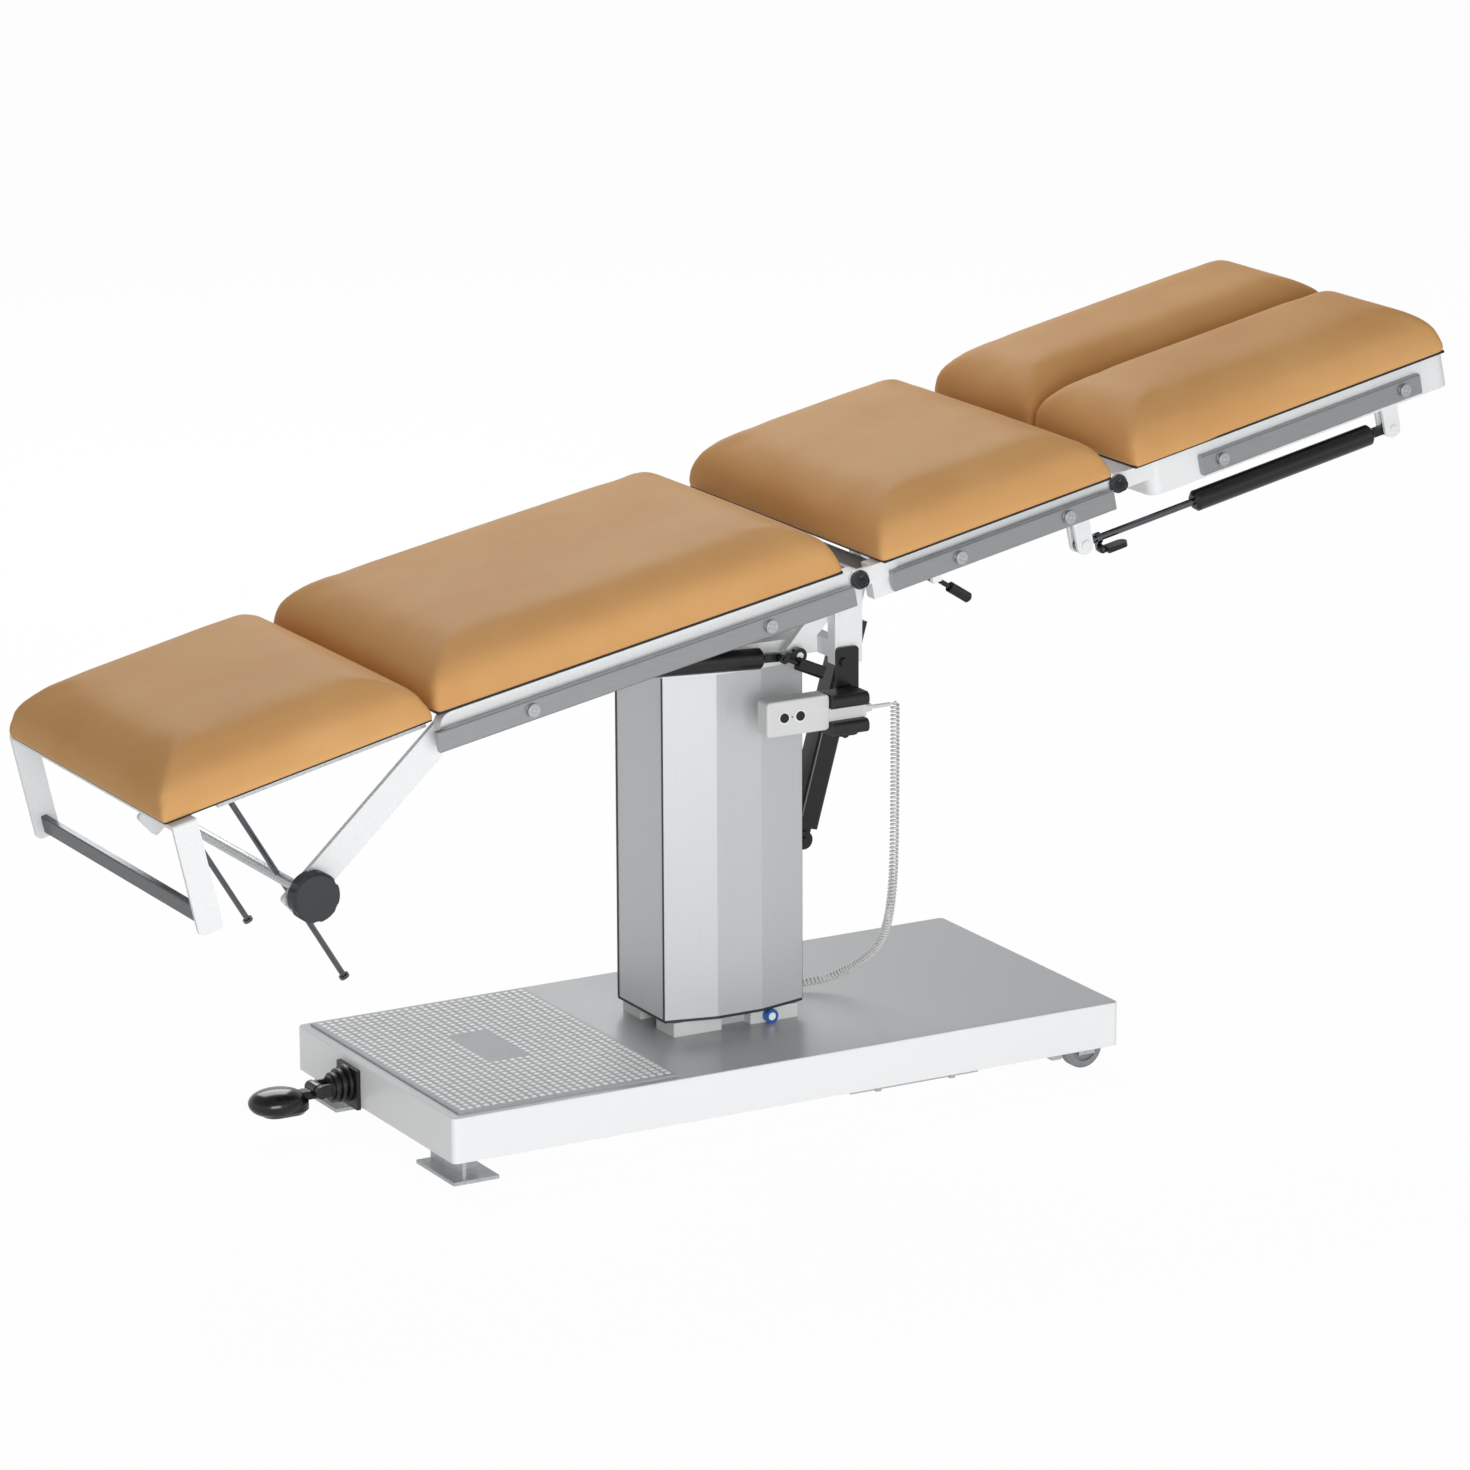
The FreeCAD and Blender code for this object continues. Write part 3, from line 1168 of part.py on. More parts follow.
def makeLegSpring(name, sign):
    clevis = legFrame.multVec(V(read("legSpringClevis"), 0, -read("legSpringDrop")))
    frame = boardFrame(clevis.x, clevis.z, read("legAngle") + 180)
    side = sign + "legSpringSide"
    reach = "(legSpringClevis + legPivotReach - legSpringAnchor)"
    makeSpring("leg_spring_" + name, frame, side, reach, "legSpringTubeStart", "legSpringTube",
               "legSpringTube - 30", "legSpringRodStart")
    inner = finished[-1]
    place = reach + " - legPaddlePlace"
    rod(inner, "YZ", (place, side, "0"), "springRodDiameter + 6", "8")
    bar(inner, "XZ", (place, side, "9"), "8", "16", "6")
    rod(inner, "XZ", (place, "%s(legSpringSide + 6)" % sign, "14"), "5", "12")
    paddle = Piece("leg_release_" + name, frame)
    outer = "%s(legSpringSide + 7.5)" % sign
    rod(paddle, "XZ", (place, outer, "14"), "12", "7")
    hole(paddle, "XZ", (place, outer, "14"), "5 + 2 * runningGap", "20")
    bar(paddle, "XY", (place + " - 5 - paddleLength / 2", outer, "17"), "paddleLength", "paddleWidth",
        "paddleThickness")
    paddle.fillet("paddleWidth / 2 - 1", (0, 0, 1), lambda p: p.x < read("legSpringClevis"))


def makeActuator():
    frame = lineFrame(read("actuatorFootX"), read("actuatorFootZ"),
                      read("actuatorHeadX"), read("actuatorHeadZ"))
    reach = "sqrt((actuatorHeadX - actuatorFootX)^2 + (actuatorHeadZ - actuatorFootZ)^2)"
    tube = Piece("tilt_actuator_tube", frame)
    rod(tube, "XZ", ("0", "0", "0"), "actuatorEye", "actuatorEye")
    bar(tube, "YZ", ("13", "0", "0"), "actuatorEye", "actuatorEye - 4", "26")
    bar(tube, "YZ", ("18 + actuatorTube / 2", "0", "0"), "actuatorDepth", "actuatorWidth", "actuatorTube")
    tube.fillet("5", (1, 0, 0), lambda p: abs(p.y) > read("actuatorDepth") / 2 - 0.1)
    hole(tube, "YZ", ("18 + actuatorTube / 2 + 20", "0", "0"), "actuatorRodDiameter + 2 * runningGap",
         "actuatorTube - 40 + 2")
    hole(tube, "XZ", ("0", "0", "0"), "actuatorPinDiameter + 2 * runningGap", "60")
    inner = Piece("tilt_actuator_rod", frame)
    rod(inner, "YZ", ("(110 + %s) / 2" % reach, "0", "0"), "actuatorRodDiameter", reach + " - 110")
    rod(inner, "XZ", (reach, "0", "0"), "actuatorEye", "actuatorEye")
    hole(inner, "XZ", (reach, "0", "0"), "actuatorPinDiameter + 2", "60")
    foot = Piece("actuator_foot")
    bar(foot, "YZ", ("columnLength / 2 + 3", "0", "actuatorFootZ"), "64", "56", "6")
    for cheek in ("-", ""):
        side = cheek + "(actuatorEye / 2 + 1 + springLugThickness / 2)"
        bar(foot, "XZ", ("(columnLength / 2 + actuatorFootX) / 2", side, "actuatorFootZ"),
            "actuatorFootX - columnLength / 2", "26", "springLugThickness")
        rod(foot, "XZ", ("actuatorFootX", side, "actuatorFootZ"), "26", "springLugThickness")
    rod(foot, "XZ", ("actuatorFootX", "0", "actuatorFootZ"), "actuatorPinDiameter",
        "actuatorEye + 2 + 3.4 * springLugThickness")


# Route of the coiled cord: from the handset down to the gland beside the column.
cordRoute = [(211, -148, 551), (212, -147, 400), (214, -138, 262), (226, -84, 176),
             (206, 2, 118), (160, 28, 106), (112, 42, 104)]


def roundedWire(route):
    # Straight runs joined by tangent arcs.
    points = [V(*p) for p in route]
    edges = []
    last = points[0]
    length = 0
    for i in range(1, len(points) - 1):
        before = points[i] - points[i - 1]
        after = points[i + 1] - points[i]
        half = before.getAngle(after) / 2
        cut = 0.45 * min(before.Length, after.Length)
        start = points[i] - before.normalize() * cut
        end = points[i] + after.normalize() * cut
        radius = cut / math.tan(half)
        print("cord bend %d radius %.1f" % (i, radius))
        centre = points[i] + (start + end - points[i] * 2).normalize() * (radius / math.cos(half))
        middle = centre + (points[i] - centre).normalize() * radius
        edges.append(Part.makeLine(last, start))
        edges.append(Part.Arc(start, middle, end).toShape())
        last = end
    edges.append(Part.makeLine(last, points[-1]))
    return Part.Wire(edges)


class Solid:
    """A finished shape that stands in the list like the other pieces."""

    def __init__(self, label, shape):
        self.body = doc.addObject("Part::Feature", label)
        self.body.Label = label
        self.body.Shape = shape
        finished.append(self)

    def steps(self):
        return [self.body]


def makeCord():
    wire = roundedWire(cordRoute)
    radius = read("coilDiameter") / 2
    start = V(*cordRoute[0])
    heading = V(*cordRoute[1]) - start
    ring = Part.Wire(Part.Circle(start, heading, radius).toShape())
    tube = wire.makePipeShell([ring], True, True)
    tube.Placement = originPlace
    print("cord length %.1f volume share %.4f" % (
        wire.Length, tube.Volume / (math.pi * radius ** 2 * wire.Length)))
    Solid("handset_cord", tube)
    gland = Piece("cord_gland")
    x, y, z = cordRoute[-1]
    rod(gland, "YZ", ("(plinthLength / 2 + %d) / 2" % x, "%d" % y, "%d" % z),
        "coilDiameter + 2", "%d - plinthLength / 2" % x)
    gland.chamfer("1", None, lambda p: p.x > x - 0.01)


def buildAll():
    makeHousing()
    makeMat()
    makeFeet()
    makeWheelBrackets()
    makeWheel("rear_wheel_right", "-")
    makeWheel("rear_wheel_left", "")
    makeBoot()
    makePedal()
    makeLinkage()
    makeInnerColumn()
    makeLiftDrive()
    makeSocket()
    makeColumnPanels()
    makeCarrier()
    makeHolder()
    makeHandset()
    makeCord()
    makeActuator()
    makeSeatFrame()
    makeHingeParts()
    makeSeatLever()
    screws = ("seatScrewFirst", "seatScrewSecond")
    makeRails("seat_rails", seatFrame, "seatRailStart", "seatRailEnd", screws, sides.values())
    makeCushion("seat_cushion", seatFrame, "seatCushionStart", "seatCushionEnd", "0",
                "seatCushionWidth", "cushionSlope", "tubeTop")
    makeBackFrame()
    screws = ("-backScrewFirst", "-backScrewSecond")
    makeRails("back_rails", backFrame, "(-backRailEnd)", "(-backRailStart)", screws, sides.values())
    makeCushion("back_cushion", backFrame, "(-backCushionEnd)", "(-backCushionStart)", "0",
                "backCushionWidth", "cushionSlope", "tubeTop")
    makeHeadArms()
    makeBackSpring()
    makeHeadShaft()
    makeHead()
    makeHeadBracket()
    for name, sign in sides.items():
        makeLeg(name, sign)
        makeLegSpring(name, sign)


buildAll()
doc.recompute()
os.makedirs("parts", exist_ok=True)
for piece in finished:
    shape = piece.body.Shape
    good = not shape.isNull() and shape.isValid() and len(shape.Solids) > 0
    states = [o.Name for o in piece.steps() if "Invalid" in o.State or "Error" in o.State]
    if not good or states:
        print("PROBLEM", piece.body.Label, states)
    box = shape.BoundBox
    print("%-24s solids %d  x %.1f %.1f  y %.1f %.1f  z %.1f %.1f" % (
        piece.body.Label, len(shape.Solids), box.XMin, box.XMax, box.YMin, box.YMax, box.ZMin, box.ZMax))
    shape.exportStep("parts/%s.step" % piece.body.Label)
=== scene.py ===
import math
import bpy
from mathutils import Matrix, Vector


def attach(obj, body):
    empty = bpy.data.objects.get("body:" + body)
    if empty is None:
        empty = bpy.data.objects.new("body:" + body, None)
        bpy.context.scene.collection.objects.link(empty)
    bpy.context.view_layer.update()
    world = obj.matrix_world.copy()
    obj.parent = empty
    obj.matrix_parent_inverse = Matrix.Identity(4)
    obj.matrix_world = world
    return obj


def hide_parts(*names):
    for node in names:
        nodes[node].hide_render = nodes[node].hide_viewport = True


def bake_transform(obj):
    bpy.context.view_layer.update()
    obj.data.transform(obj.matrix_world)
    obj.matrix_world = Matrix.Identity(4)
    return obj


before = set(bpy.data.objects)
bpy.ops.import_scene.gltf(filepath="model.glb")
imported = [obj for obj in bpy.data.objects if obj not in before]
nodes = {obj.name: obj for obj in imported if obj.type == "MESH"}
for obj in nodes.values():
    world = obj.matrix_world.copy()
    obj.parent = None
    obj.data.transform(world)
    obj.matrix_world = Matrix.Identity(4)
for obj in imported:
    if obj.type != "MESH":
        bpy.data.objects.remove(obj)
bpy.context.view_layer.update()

# The row's X is measured from the middle of the whole length, the drawing's from the column.
originShift = -0.0564


def place(x, y, z):
    return Vector((x / 1000 + originShift, y / 1000, z / 1000))


def boardMatrix(x, z, angle):
    # Local X runs along the section's board, local Z stands on it.
    return Matrix.Translation(place(x, 0, z)) @ Matrix.Rotation(-math.radians(angle), 4, "Y")


seatBoard = boardMatrix(88, 761, 11.8)
backBoard = boardMatrix(88, 761, 10.8)
legBoard = boardMatrix(497.17, 846.48, 12.1)
headBoard = boardMatrix(-738.5, 603, 12.7)


def deselect():
    for obj in bpy.context.selected_objects:
        obj.select_set(False)


def pick(obj):
    deselect()
    obj.select_set(True)
    bpy.context.view_layer.objects.active = obj


def settle(obj, name):
    # The piece's place goes into its mesh and its object stands at the origin.
    pick(obj)
    bpy.ops.object.transform_apply(location=True, rotation=True, scale=True)
    obj.name = name
    obj.data.name = name
    return obj


def smooth(obj, angle=40):
    pick(obj)
    bpy.ops.object.shade_smooth_by_angle(angle=math.radians(angle))


def joined(parts, name):
    deselect()
    for obj in parts:
        obj.select_set(True)
    bpy.context.view_layer.objects.active = parts[0]
    if len(parts) > 1:
        bpy.ops.object.join()
    return settle(bpy.context.view_layer.objects.active, name)


# Materials

def linear(hexCode):
    values = [int(hexCode[i:i + 2], 16) / 255 for i in (1, 3, 5)]
    return tuple(v / 12.92 if v <= 0.04045 else ((v + 0.055) / 1.055) ** 2.4 for v in values) + (1.0,)


def addNode(material, kind, values=None, links=None, **settings):
    node = material.node_tree.nodes.new(kind)
    for key, value in settings.items():
        setattr(node, key, value)
    for key, value in (values or {}).items():
        node.inputs[key].default_value = value
    for key, source in (links or {}).items():
        material.node_tree.links.new(source, node.inputs[key])
    return node


def newMaterial(name, colour, **values):
    material = bpy.data.materials.new(name)
    material.use_nodes = True
    shader = material.node_tree.nodes["Principled BSDF"]
    shader.inputs["Base Color"].default_value = linear(colour)
    for key, value in values.items():
        shader.inputs[key.replace("_", " ")].default_value = value
    return material, shader


def grain(material, shader, perMetre, stretch, light, dark, bumpDepth, strength=0.35, detail=3.0):
    # Colour moves a little between two tones, and the same noise lifts the surface by bumpDepth metres.
    where = addNode(material, "ShaderNodeTexCoord")
    turned = addNode(material, "ShaderNodeMapping", {"Scale": stretch}, {"Vector": where.outputs["Object"]})
    noise = addNode(material, "ShaderNodeTexNoise", {"Scale": perMetre, "Detail": detail},
                    {"Vector": turned.outputs["Vector"]})
    tone = addNode(material, "ShaderNodeValToRGB", None, {"Fac": noise.outputs["Fac"]})
    tone.color_ramp.elements[0].position = 0.3
    tone.color_ramp.elements[1].position = 0.7
    tone.color_ramp.elements[0].color = linear(dark)
    tone.color_ramp.elements[1].color = linear(light)
    bump = addNode(material, "ShaderNodeBump", {"Strength": strength, "Distance": bumpDepth},
                   {"Height": noise.outputs["Fac"]})
    links = material.node_tree.links
    links.new(tone.outputs["Color"], shader.inputs["Base Color"])
    links.new(bump.outputs["Normal"], shader.inputs["Normal"])


vinyl = {
    "colour": "#D6A46B", "light": "#D9A86F", "dark": "#D39F66", "roughness": 0.46, "shine": 0.03,
    "pebble": 0.0016, "pebbleDepth": 0.0002, "pebbleStrength": 0.12, "cloudsPerMetre": 7.0,
}


def makeVinyl(facts):
    # A fine pebble lifts the surface, and soft clouds of tone lie over it.
    material, shader = newMaterial("upholsteryVinyl", facts["colour"], Roughness=facts["roughness"],
                                   Specular_IOR_Level=facts["shine"])
    where = addNode(material, "ShaderNodeTexCoord")
    pebble = addNode(material, "ShaderNodeTexVoronoi", {"Scale": 1 / facts["pebble"]},
                     {"Vector": where.outputs["Object"]})
    cloud = addNode(material, "ShaderNodeTexNoise", {"Scale": facts["cloudsPerMetre"], "Detail": 3.0},
                    {"Vector": where.outputs["Object"]})
    tone = addNode(material, "ShaderNodeValToRGB", None, {"Fac": cloud.outputs["Fac"]})
    tone.color_ramp.elements[0].position = 0.32
    tone.color_ramp.elements[1].position = 0.68
    tone.color_ramp.elements[0].color = linear(facts["dark"])
    tone.color_ramp.elements[1].color = linear(facts["light"])
    bump = addNode(material, "ShaderNodeBump",
                   {"Strength": facts["pebbleStrength"], "Distance": facts["pebbleDepth"]},
                   {"Height": pebble.outputs["Distance"]})
    links = material.node_tree.links
    links.new(tone.outputs["Color"], shader.inputs["Base Color"])
    links.new(bump.outputs["Normal"], shader.inputs["Normal"])
    return material


def makeFinish(name, light, dark, perMetre, stretch=(1, 1, 1), depth=0.0001, strength=0.2, **values):
    material, shader = newMaterial(name, light, **values)
    grain(material, shader, perMetre, stretch, light, dark, depth, strength)
    return material


finishes = {
    # Calendered PVC on knit over foam
    "vinyl": makeVinyl(vinyl),
    # Stove enamel on sheet steel, with a faint orange peel of about 2 mm
    "baseEnamel": makeFinish("baseEnamel", "#F3F4F5", "#EFF0F1", 500, depth=0.00006, Roughness=0.3),
    # Silver-grey powder coat on the tube frames
    "silverEnamel": makeFinish("silverEnamel", "#EDEFF0", "#E6E8E9", 420, depth=0.00005, strength=0.1,
                               Roughness=0.34),
    # Extruded and anodised aluminium, with its draw lines along Z
    "anodisedAluminium": makeFinish("anodisedAluminium", "#CCCED0", "#C9CBCD", 900, (1, 1, 0.02), 0.00003,
                                    0.04, Metallic=0.45, Roughness=0.42),
    # Rail steel, brushed along the length of the table
    "brushedSteel": makeFinish("brushedSteel", "#A6A8AA", "#9DA0A2", 1100, (0.03, 1, 1), 0.00003, 0.08,
                               Metallic=0.85, Roughness=0.36),
    # Rolled bar, polished; its dark grey is painted reflection of the dark underside of the cushion
    "paintedReflectionBar": makeFinish("paintedReflectionBar", "#54575A", "#3D4043", 1100, (1, 0.03, 1), 0.00003, 0.1,
                          Metallic=1.0, Roughness=0.22),
    # Hard-chromed piston rods; their darker grey is painted reflection of dark surroundings
    "rodPaintedReflection": makeFinish("rodPaintedReflection", "#6E7175", "#64676B", 60, depth=0.00002, strength=0.05,
                            Metallic=1.0, Roughness=0.14),
    # Zinc-plated steel sheet and turned parts
    "zincSteel": makeFinish("zincSteel", "#CFD1D2", "#BCBFC1", 260, depth=0.00006, Metallic=0.8,
                            Roughness=0.36),
    # Chrome on screws and the spindle
    "polishedChrome": makeFinish("polishedChrome", "#C9CCD0", "#BFC3C8", 60, depth=0.00002, strength=0.05,
                                 Metallic=1.0, Roughness=0.09),
    # Black enamel on the gas springs, the actuator and the holder
    "blackEnamel": makeFinish("blackEnamel", "#17181A", "#0E0F10", 400, depth=0.00006, Roughness=0.26),
    # Moulded nylon grips and buttons
    "glossBlackPlastic": makeFinish("glossBlackPlastic", "#151617", "#0D0E0F", 300, depth=0.0001,
                                    strength=0.15, Roughness=0.18),
    # Soft rubber of the bellows and the fork, and the edge of the cushions' boards, whose black there is
    # partly painted shade under the vinyl
    "mattBlackRubber": makeFinish("mattBlackRubber", "#1B1C1E", "#131415", 500, depth=0.0001, Roughness=0.42),
    # Slate-grey moulding of the knob, the seams and the caps
    "darkGreyPlastic": makeFinish("darkGreyPlastic", "#2F3338", "#272A2E", 600, depth=0.00012,
                                  Roughness=0.52),
    # Light ABS of the handset and the plinth blocks
    "lightGreyPlastic": makeFinish("lightGreyPlastic", "#D9DAD9", "#D2D4D3", 700, depth=0.0001,
                                   Roughness=0.46),
    # Moulded rubber, the grey ground of the tread mat
    "studdedRubber": makeFinish("studdedRubber", "#B1B4B7", "#A8ABAE", 350, depth=0.0001, Roughness=0.6),
    # White moulded rubber of the studs and the rims
    "whiteRubber": makeFinish("whiteRubber", "#F7F8F8", "#F2F3F3", 350, depth=0.0001, Roughness=0.5),
    # Coloured nylon ring of the earth socket
    "bluePlastic": makeFinish("bluePlastic", "#2A62B4", "#2458A6", 500, depth=0.0001, Roughness=0.35),
    # Grey rubber tread of the rear wheels
    "wheelRubber": makeFinish("wheelRubber", "#8C8E90", "#7B7D80", 300, depth=0.0002, Roughness=0.55),
    # Polyurethane sheath of the coiled cord
    "cordSkin": makeFinish("cordSkin", "#D9DAD8", "#CFD0CE", 500, depth=0.00006, Roughness=0.4),
}

nodeFinish = {
    "base_housing": "baseEnamel", "tread_mat": "studdedRubber", "floor_feet": "zincSteel",
    "base_brackets": "zincSteel", "rear_wheel_right": "wheelRubber", "rear_wheel_left": "wheelRubber",
    "pedal_boot": "mattBlackRubber", "foot_pedal": "glossBlackPlastic", "brake_linkage": "zincSteel",
    "inner_column": "anodisedAluminium", "column_plinth_blocks": "lightGreyPlastic",
    "lift_motor": "blackEnamel", "lift_spindle": "polishedChrome", "earth_socket": "bluePlastic",
    "column_side_panels": "anodisedAluminium", "column_end_panels": "anodisedAluminium",
    "column_trims": "darkGreyPlastic", "tilt_carrier": "silverEnamel", "holder_plate": "blackEnamel",
    "handset_fork": "mattBlackRubber", "handset": "lightGreyPlastic",
    "handset_button_down": "glossBlackPlastic", "handset_button_up": "glossBlackPlastic",
    "cord_strain_relief": "cordSkin", "cord_gland": "darkGreyPlastic", "tilt_actuator_tube": "blackEnamel",
    "tilt_actuator_rod": "polishedChrome", "actuator_foot": "blackEnamel", "seat_frame": "silverEnamel",
    "hinge_shafts": "darkGreyPlastic", "seat_lever": "glossBlackPlastic", "seat_rails": "brushedSteel",
    "back_frame": "silverEnamel", "back_rails": "brushedSteel", "head_arms": "silverEnamel",
    "back_spring_tube": "blackEnamel", "back_spring_rod": "rodPaintedReflection",
    "back_release_lever": "glossBlackPlastic", "head_shaft": "zincSteel", "head_knob": "darkGreyPlastic",
    "head_plate": "zincSteel", "head_rods": "rodPaintedReflection", "head_bracket": "silverEnamel",
    "head_rail": "paintedReflectionBar",
}
for side in ("right", "left"):
    nodeFinish["leg_frame_" + side] = "silverEnamel"
    nodeFinish["leg_rail_" + side] = "brushedSteel"
    nodeFinish["leg_spring_%s_tube" % side] = "blackEnamel"
    nodeFinish["leg_spring_%s_rod" % side] = "rodPaintedReflection"
    nodeFinish["leg_release_" + side] = "glossBlackPlastic"


def paintShadeOnTop(material, colour):
    # The flat top of the base cover is given a greyer colour as painted shade, for the light it gets less
    # than its walls; its walls stay white.
    shader = material.node_tree.nodes["Principled BSDF"]
    side = shader.inputs["Base Color"].links[0].from_socket
    where = addNode(material, "ShaderNodeTexCoord")
    parts = addNode(material, "ShaderNodeSeparateXYZ", None, {"Vector": where.outputs["Normal"]})
    up = addNode(material, "ShaderNodeMapRange", {"From Min": 0.6, "From Max": 0.95},
                 {"Value": parts.outputs["Z"]})
    mix = addNode(material, "ShaderNodeMix", {"B": linear(colour)},
                  {"Factor": up.outputs["Result"], "A": side}, data_type="RGBA")
    material.node_tree.links.new(mix.outputs["Result"], shader.inputs["Base Color"])


def dress(obj, finish):
    obj.data.materials.clear()
    obj.data.materials.append(finishes[finish])


# The grey on the top of the base is painted shade.
paintShadeOnTop(finishes["baseEnamel"], "#ABAEB0")
for nodeName, finish in nodeFinish.items():
    node = nodes[nodeName]
    for materialSlot in node.material_slots:
        materialSlot.material = finishes[finish]
print("finishes on", len(nodeFinish), "nodes")

# Cushions: vinyl over foam on a board, swollen by a short cloth simulation

cushions = {
    "seat_cushion": {"board": seatBoard, "body": "seat"},
    "back_cushion": {"board": backBoard, "body": "back"},
    "head_cushion": {"board": headBoard, "body": "head"},
    "leg_cushion_right": {"board": legBoard, "body": "leg_right"},
    "leg_cushion_left": {"board": legBoard, "body": "leg_left"},
}
cushionCare = {
    "voxel": 0.006,      # size of the remeshed cells
    "grow": 0.001,       # the start shape stands this far outside the foam's outline
    "growFrom": 0.03,    # and above this height it is that much taller too
    "smoothing": 0.5,
    "softenSteps": 9,
    "pressure": 4.0,
    "frames": 20,
    "quality": 4,
    "cap": 0.004,        # no point moves further than this
    "stretch": 12,
    "bend": 3,
    "creaseLow": 0.024,  # the corner seams start at this height and run this share of the way up
    "creaseShare": 0.62,
    "creaseWidth": 0.010,
    "creaseHold": 0.75,
    "stapled": 0.006,    # the vinyl below this height is held by the board
    "edge": 0.012,       # height of the stapled edge
    "crownSteps": 26,
    "skinSteps": 4,
    "lift": 0.0028,      # the vinyl ends this far above the tubes, where the board's edge shows
    "fill": 0.8,
}
boardEdgeAndShade = {"inset": 0.003, "height": 0.004, "bevel": 0.001, "seat": 0.0002}


def copyInBoard(name, board):
    obj = nodes[name].copy()
    obj.data = nodes[name].data.copy()
    obj.name = name + "_cover"
    bpy.context.collection.objects.link(obj)
    obj.parent = None
    obj.matrix_world = Matrix.Identity(4)
    obj.data.transform(board.inverted())
    pick(obj)
    bpy.ops.object.mode_set(mode="EDIT")
    bpy.ops.mesh.select_all(action="SELECT")
    bpy.ops.mesh.remove_doubles(threshold=0.0001)
    bpy.ops.object.mode_set(mode="OBJECT")
    return obj


def corners(obj):
    # Lowest and highest corner of the outline, and of the flat top.
    points = [v.co for v in obj.data.vertices]
    low = Vector((min(p[i] for p in points) for i in range(3)))
    high = Vector((max(p[i] for p in points) for i in range(3)))
    top = [p for p in points if p.z > high.z - 0.001]
    topLow = Vector((min(p.x for p in top), min(p.y for p in top), high.z))
    topHigh = Vector((max(p.x for p in top), max(p.y for p in top), high.z))
    return low, high, topLow, topHigh


def distanceToSegment(p, a, b):
    along = b - a
    t = max(0.0, min(1.0, (p - a).dot(along) / along.length_squared))
    return (p - (a + along * t)).length


def swell(obj, creases, bottom, care):
    group = obj.vertex_groups.new(name="seams")
    for vertex in obj.data.vertices:
        near = min(distanceToSegment(vertex.co, a, b) for a, b in creases)
        hold = care["creaseHold"] * max(0.0, 1 - near / care["creaseWidth"])
        if vertex.co.z < bottom + care["stapled"]:
            hold = 1.0
        if hold > 0:
            group.add([vertex.index], hold, "REPLACE")
    rest = [v.co.copy() for v in obj.data.vertices]
    cloth = obj.modifiers.new("swell", "CLOTH")
    cloth.settings.quality = care["quality"]
    cloth.settings.use_pressure = True
    cloth.settings.uniform_pressure_force = care["pressure"]
    cloth.settings.effector_weights.gravity = 0
    cloth.settings.vertex_group_mass = "seams"
    cloth.settings.tension_stiffness = care["stretch"]
    cloth.settings.compression_stiffness = care["stretch"]
    cloth.settings.bending_stiffness = care["bend"]
    scene = bpy.context.scene
    for step in range(1, care["frames"] + 1):
        scene.frame_set(step)
    pick(obj)
    bpy.ops.object.modifier_apply(modifier="swell")
    scene.frame_set(1)
    for vertex, start in zip(obj.data.vertices, rest):
        moved = vertex.co - start
        if moved.length > care["cap"]:
            vertex.co = start + moved.normalized() * care["cap"]


def relax(obj, bottom, care):
    # The foam rounds everything above the stapled edge; the edge itself keeps its line.
    group = obj.vertex_groups.new(name="foam")
    for vertex in obj.data.vertices:
        share = min(1.0, max(0.0, (vertex.co.z - bottom - care["edge"]) / care["edge"]))
        group.add([vertex.index], share, "REPLACE")
    for name, count, part in (("crown", care["crownSteps"], "foam"), ("skin", care["skinSteps"], "")):
        even = obj.modifiers.new(name, "SMOOTH")
        even.factor = care["smoothing"]
        even.iterations = count
        even.vertex_group = part
        bpy.ops.object.modifier_apply(modifier=name)


def widen(obj, low, high, care):
    # The foam fills its cover, so the start shape is a little wider and taller than the solid.
    middle = (high + low) / 2
    for vertex in obj.data.vertices:
        for axis in (0, 1):
            share = (vertex.co[axis] - middle[axis]) / ((high[axis] - low[axis]) / 2)
            vertex.co[axis] += share * care["grow"]
        if vertex.co.z > low.z + care["growFrom"]:
            vertex.co.z += care["grow"]


def cornerSeams(low, high, topLow, topHigh, care):
    band = low.z + care["creaseLow"]
    creases = []
    for x, tx in ((low.x, topLow.x), (high.x, topHigh.x)):
        for y, ty in ((low.y, topLow.y), (high.y, topHigh.y)):
            start = Vector((x, y, band))
            reach = Vector((tx, ty, high.z)) - start
            creases.append((start, start + reach * care["creaseShare"]))
    return creases


def makeCushion(name, facts, care):
    obj = copyInBoard(name, facts["board"])
    low, high, topLow, topHigh = corners(obj)
    widen(obj, low, high, care)
    creases = cornerSeams(low, high, topLow, topHigh, care)
    pick(obj)
    remesh = obj.modifiers.new("cells", "REMESH")
    remesh.mode = "VOXEL"
    remesh.voxel_size = care["voxel"]
    bpy.ops.object.modifier_apply(modifier="cells")
    soften = obj.modifiers.new("soften", "SMOOTH")
    soften.factor = care["smoothing"]
    soften.iterations = care["softenSteps"]
    bpy.ops.object.modifier_apply(modifier="soften")
    swell(obj, creases, low.z, care)
    relax(obj, low.z, care)
    for vertex in obj.data.vertices:
        vertex.co.z = max(vertex.co.z, low.z + care["lift"])
    obj.data.transform(facts["board"])
    finer = obj.modifiers.new("finer", "SUBSURF")
    finer.levels = 1
    finer.render_levels = 1
    pick(obj)
    bpy.ops.object.modifier_apply(modifier="finer")
    bpy.ops.object.shade_smooth()
    dress(obj, "vinyl")
    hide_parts(name)
    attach(obj, facts["body"])
    print("cushion", name, len(obj.data.vertices))
    return low, high


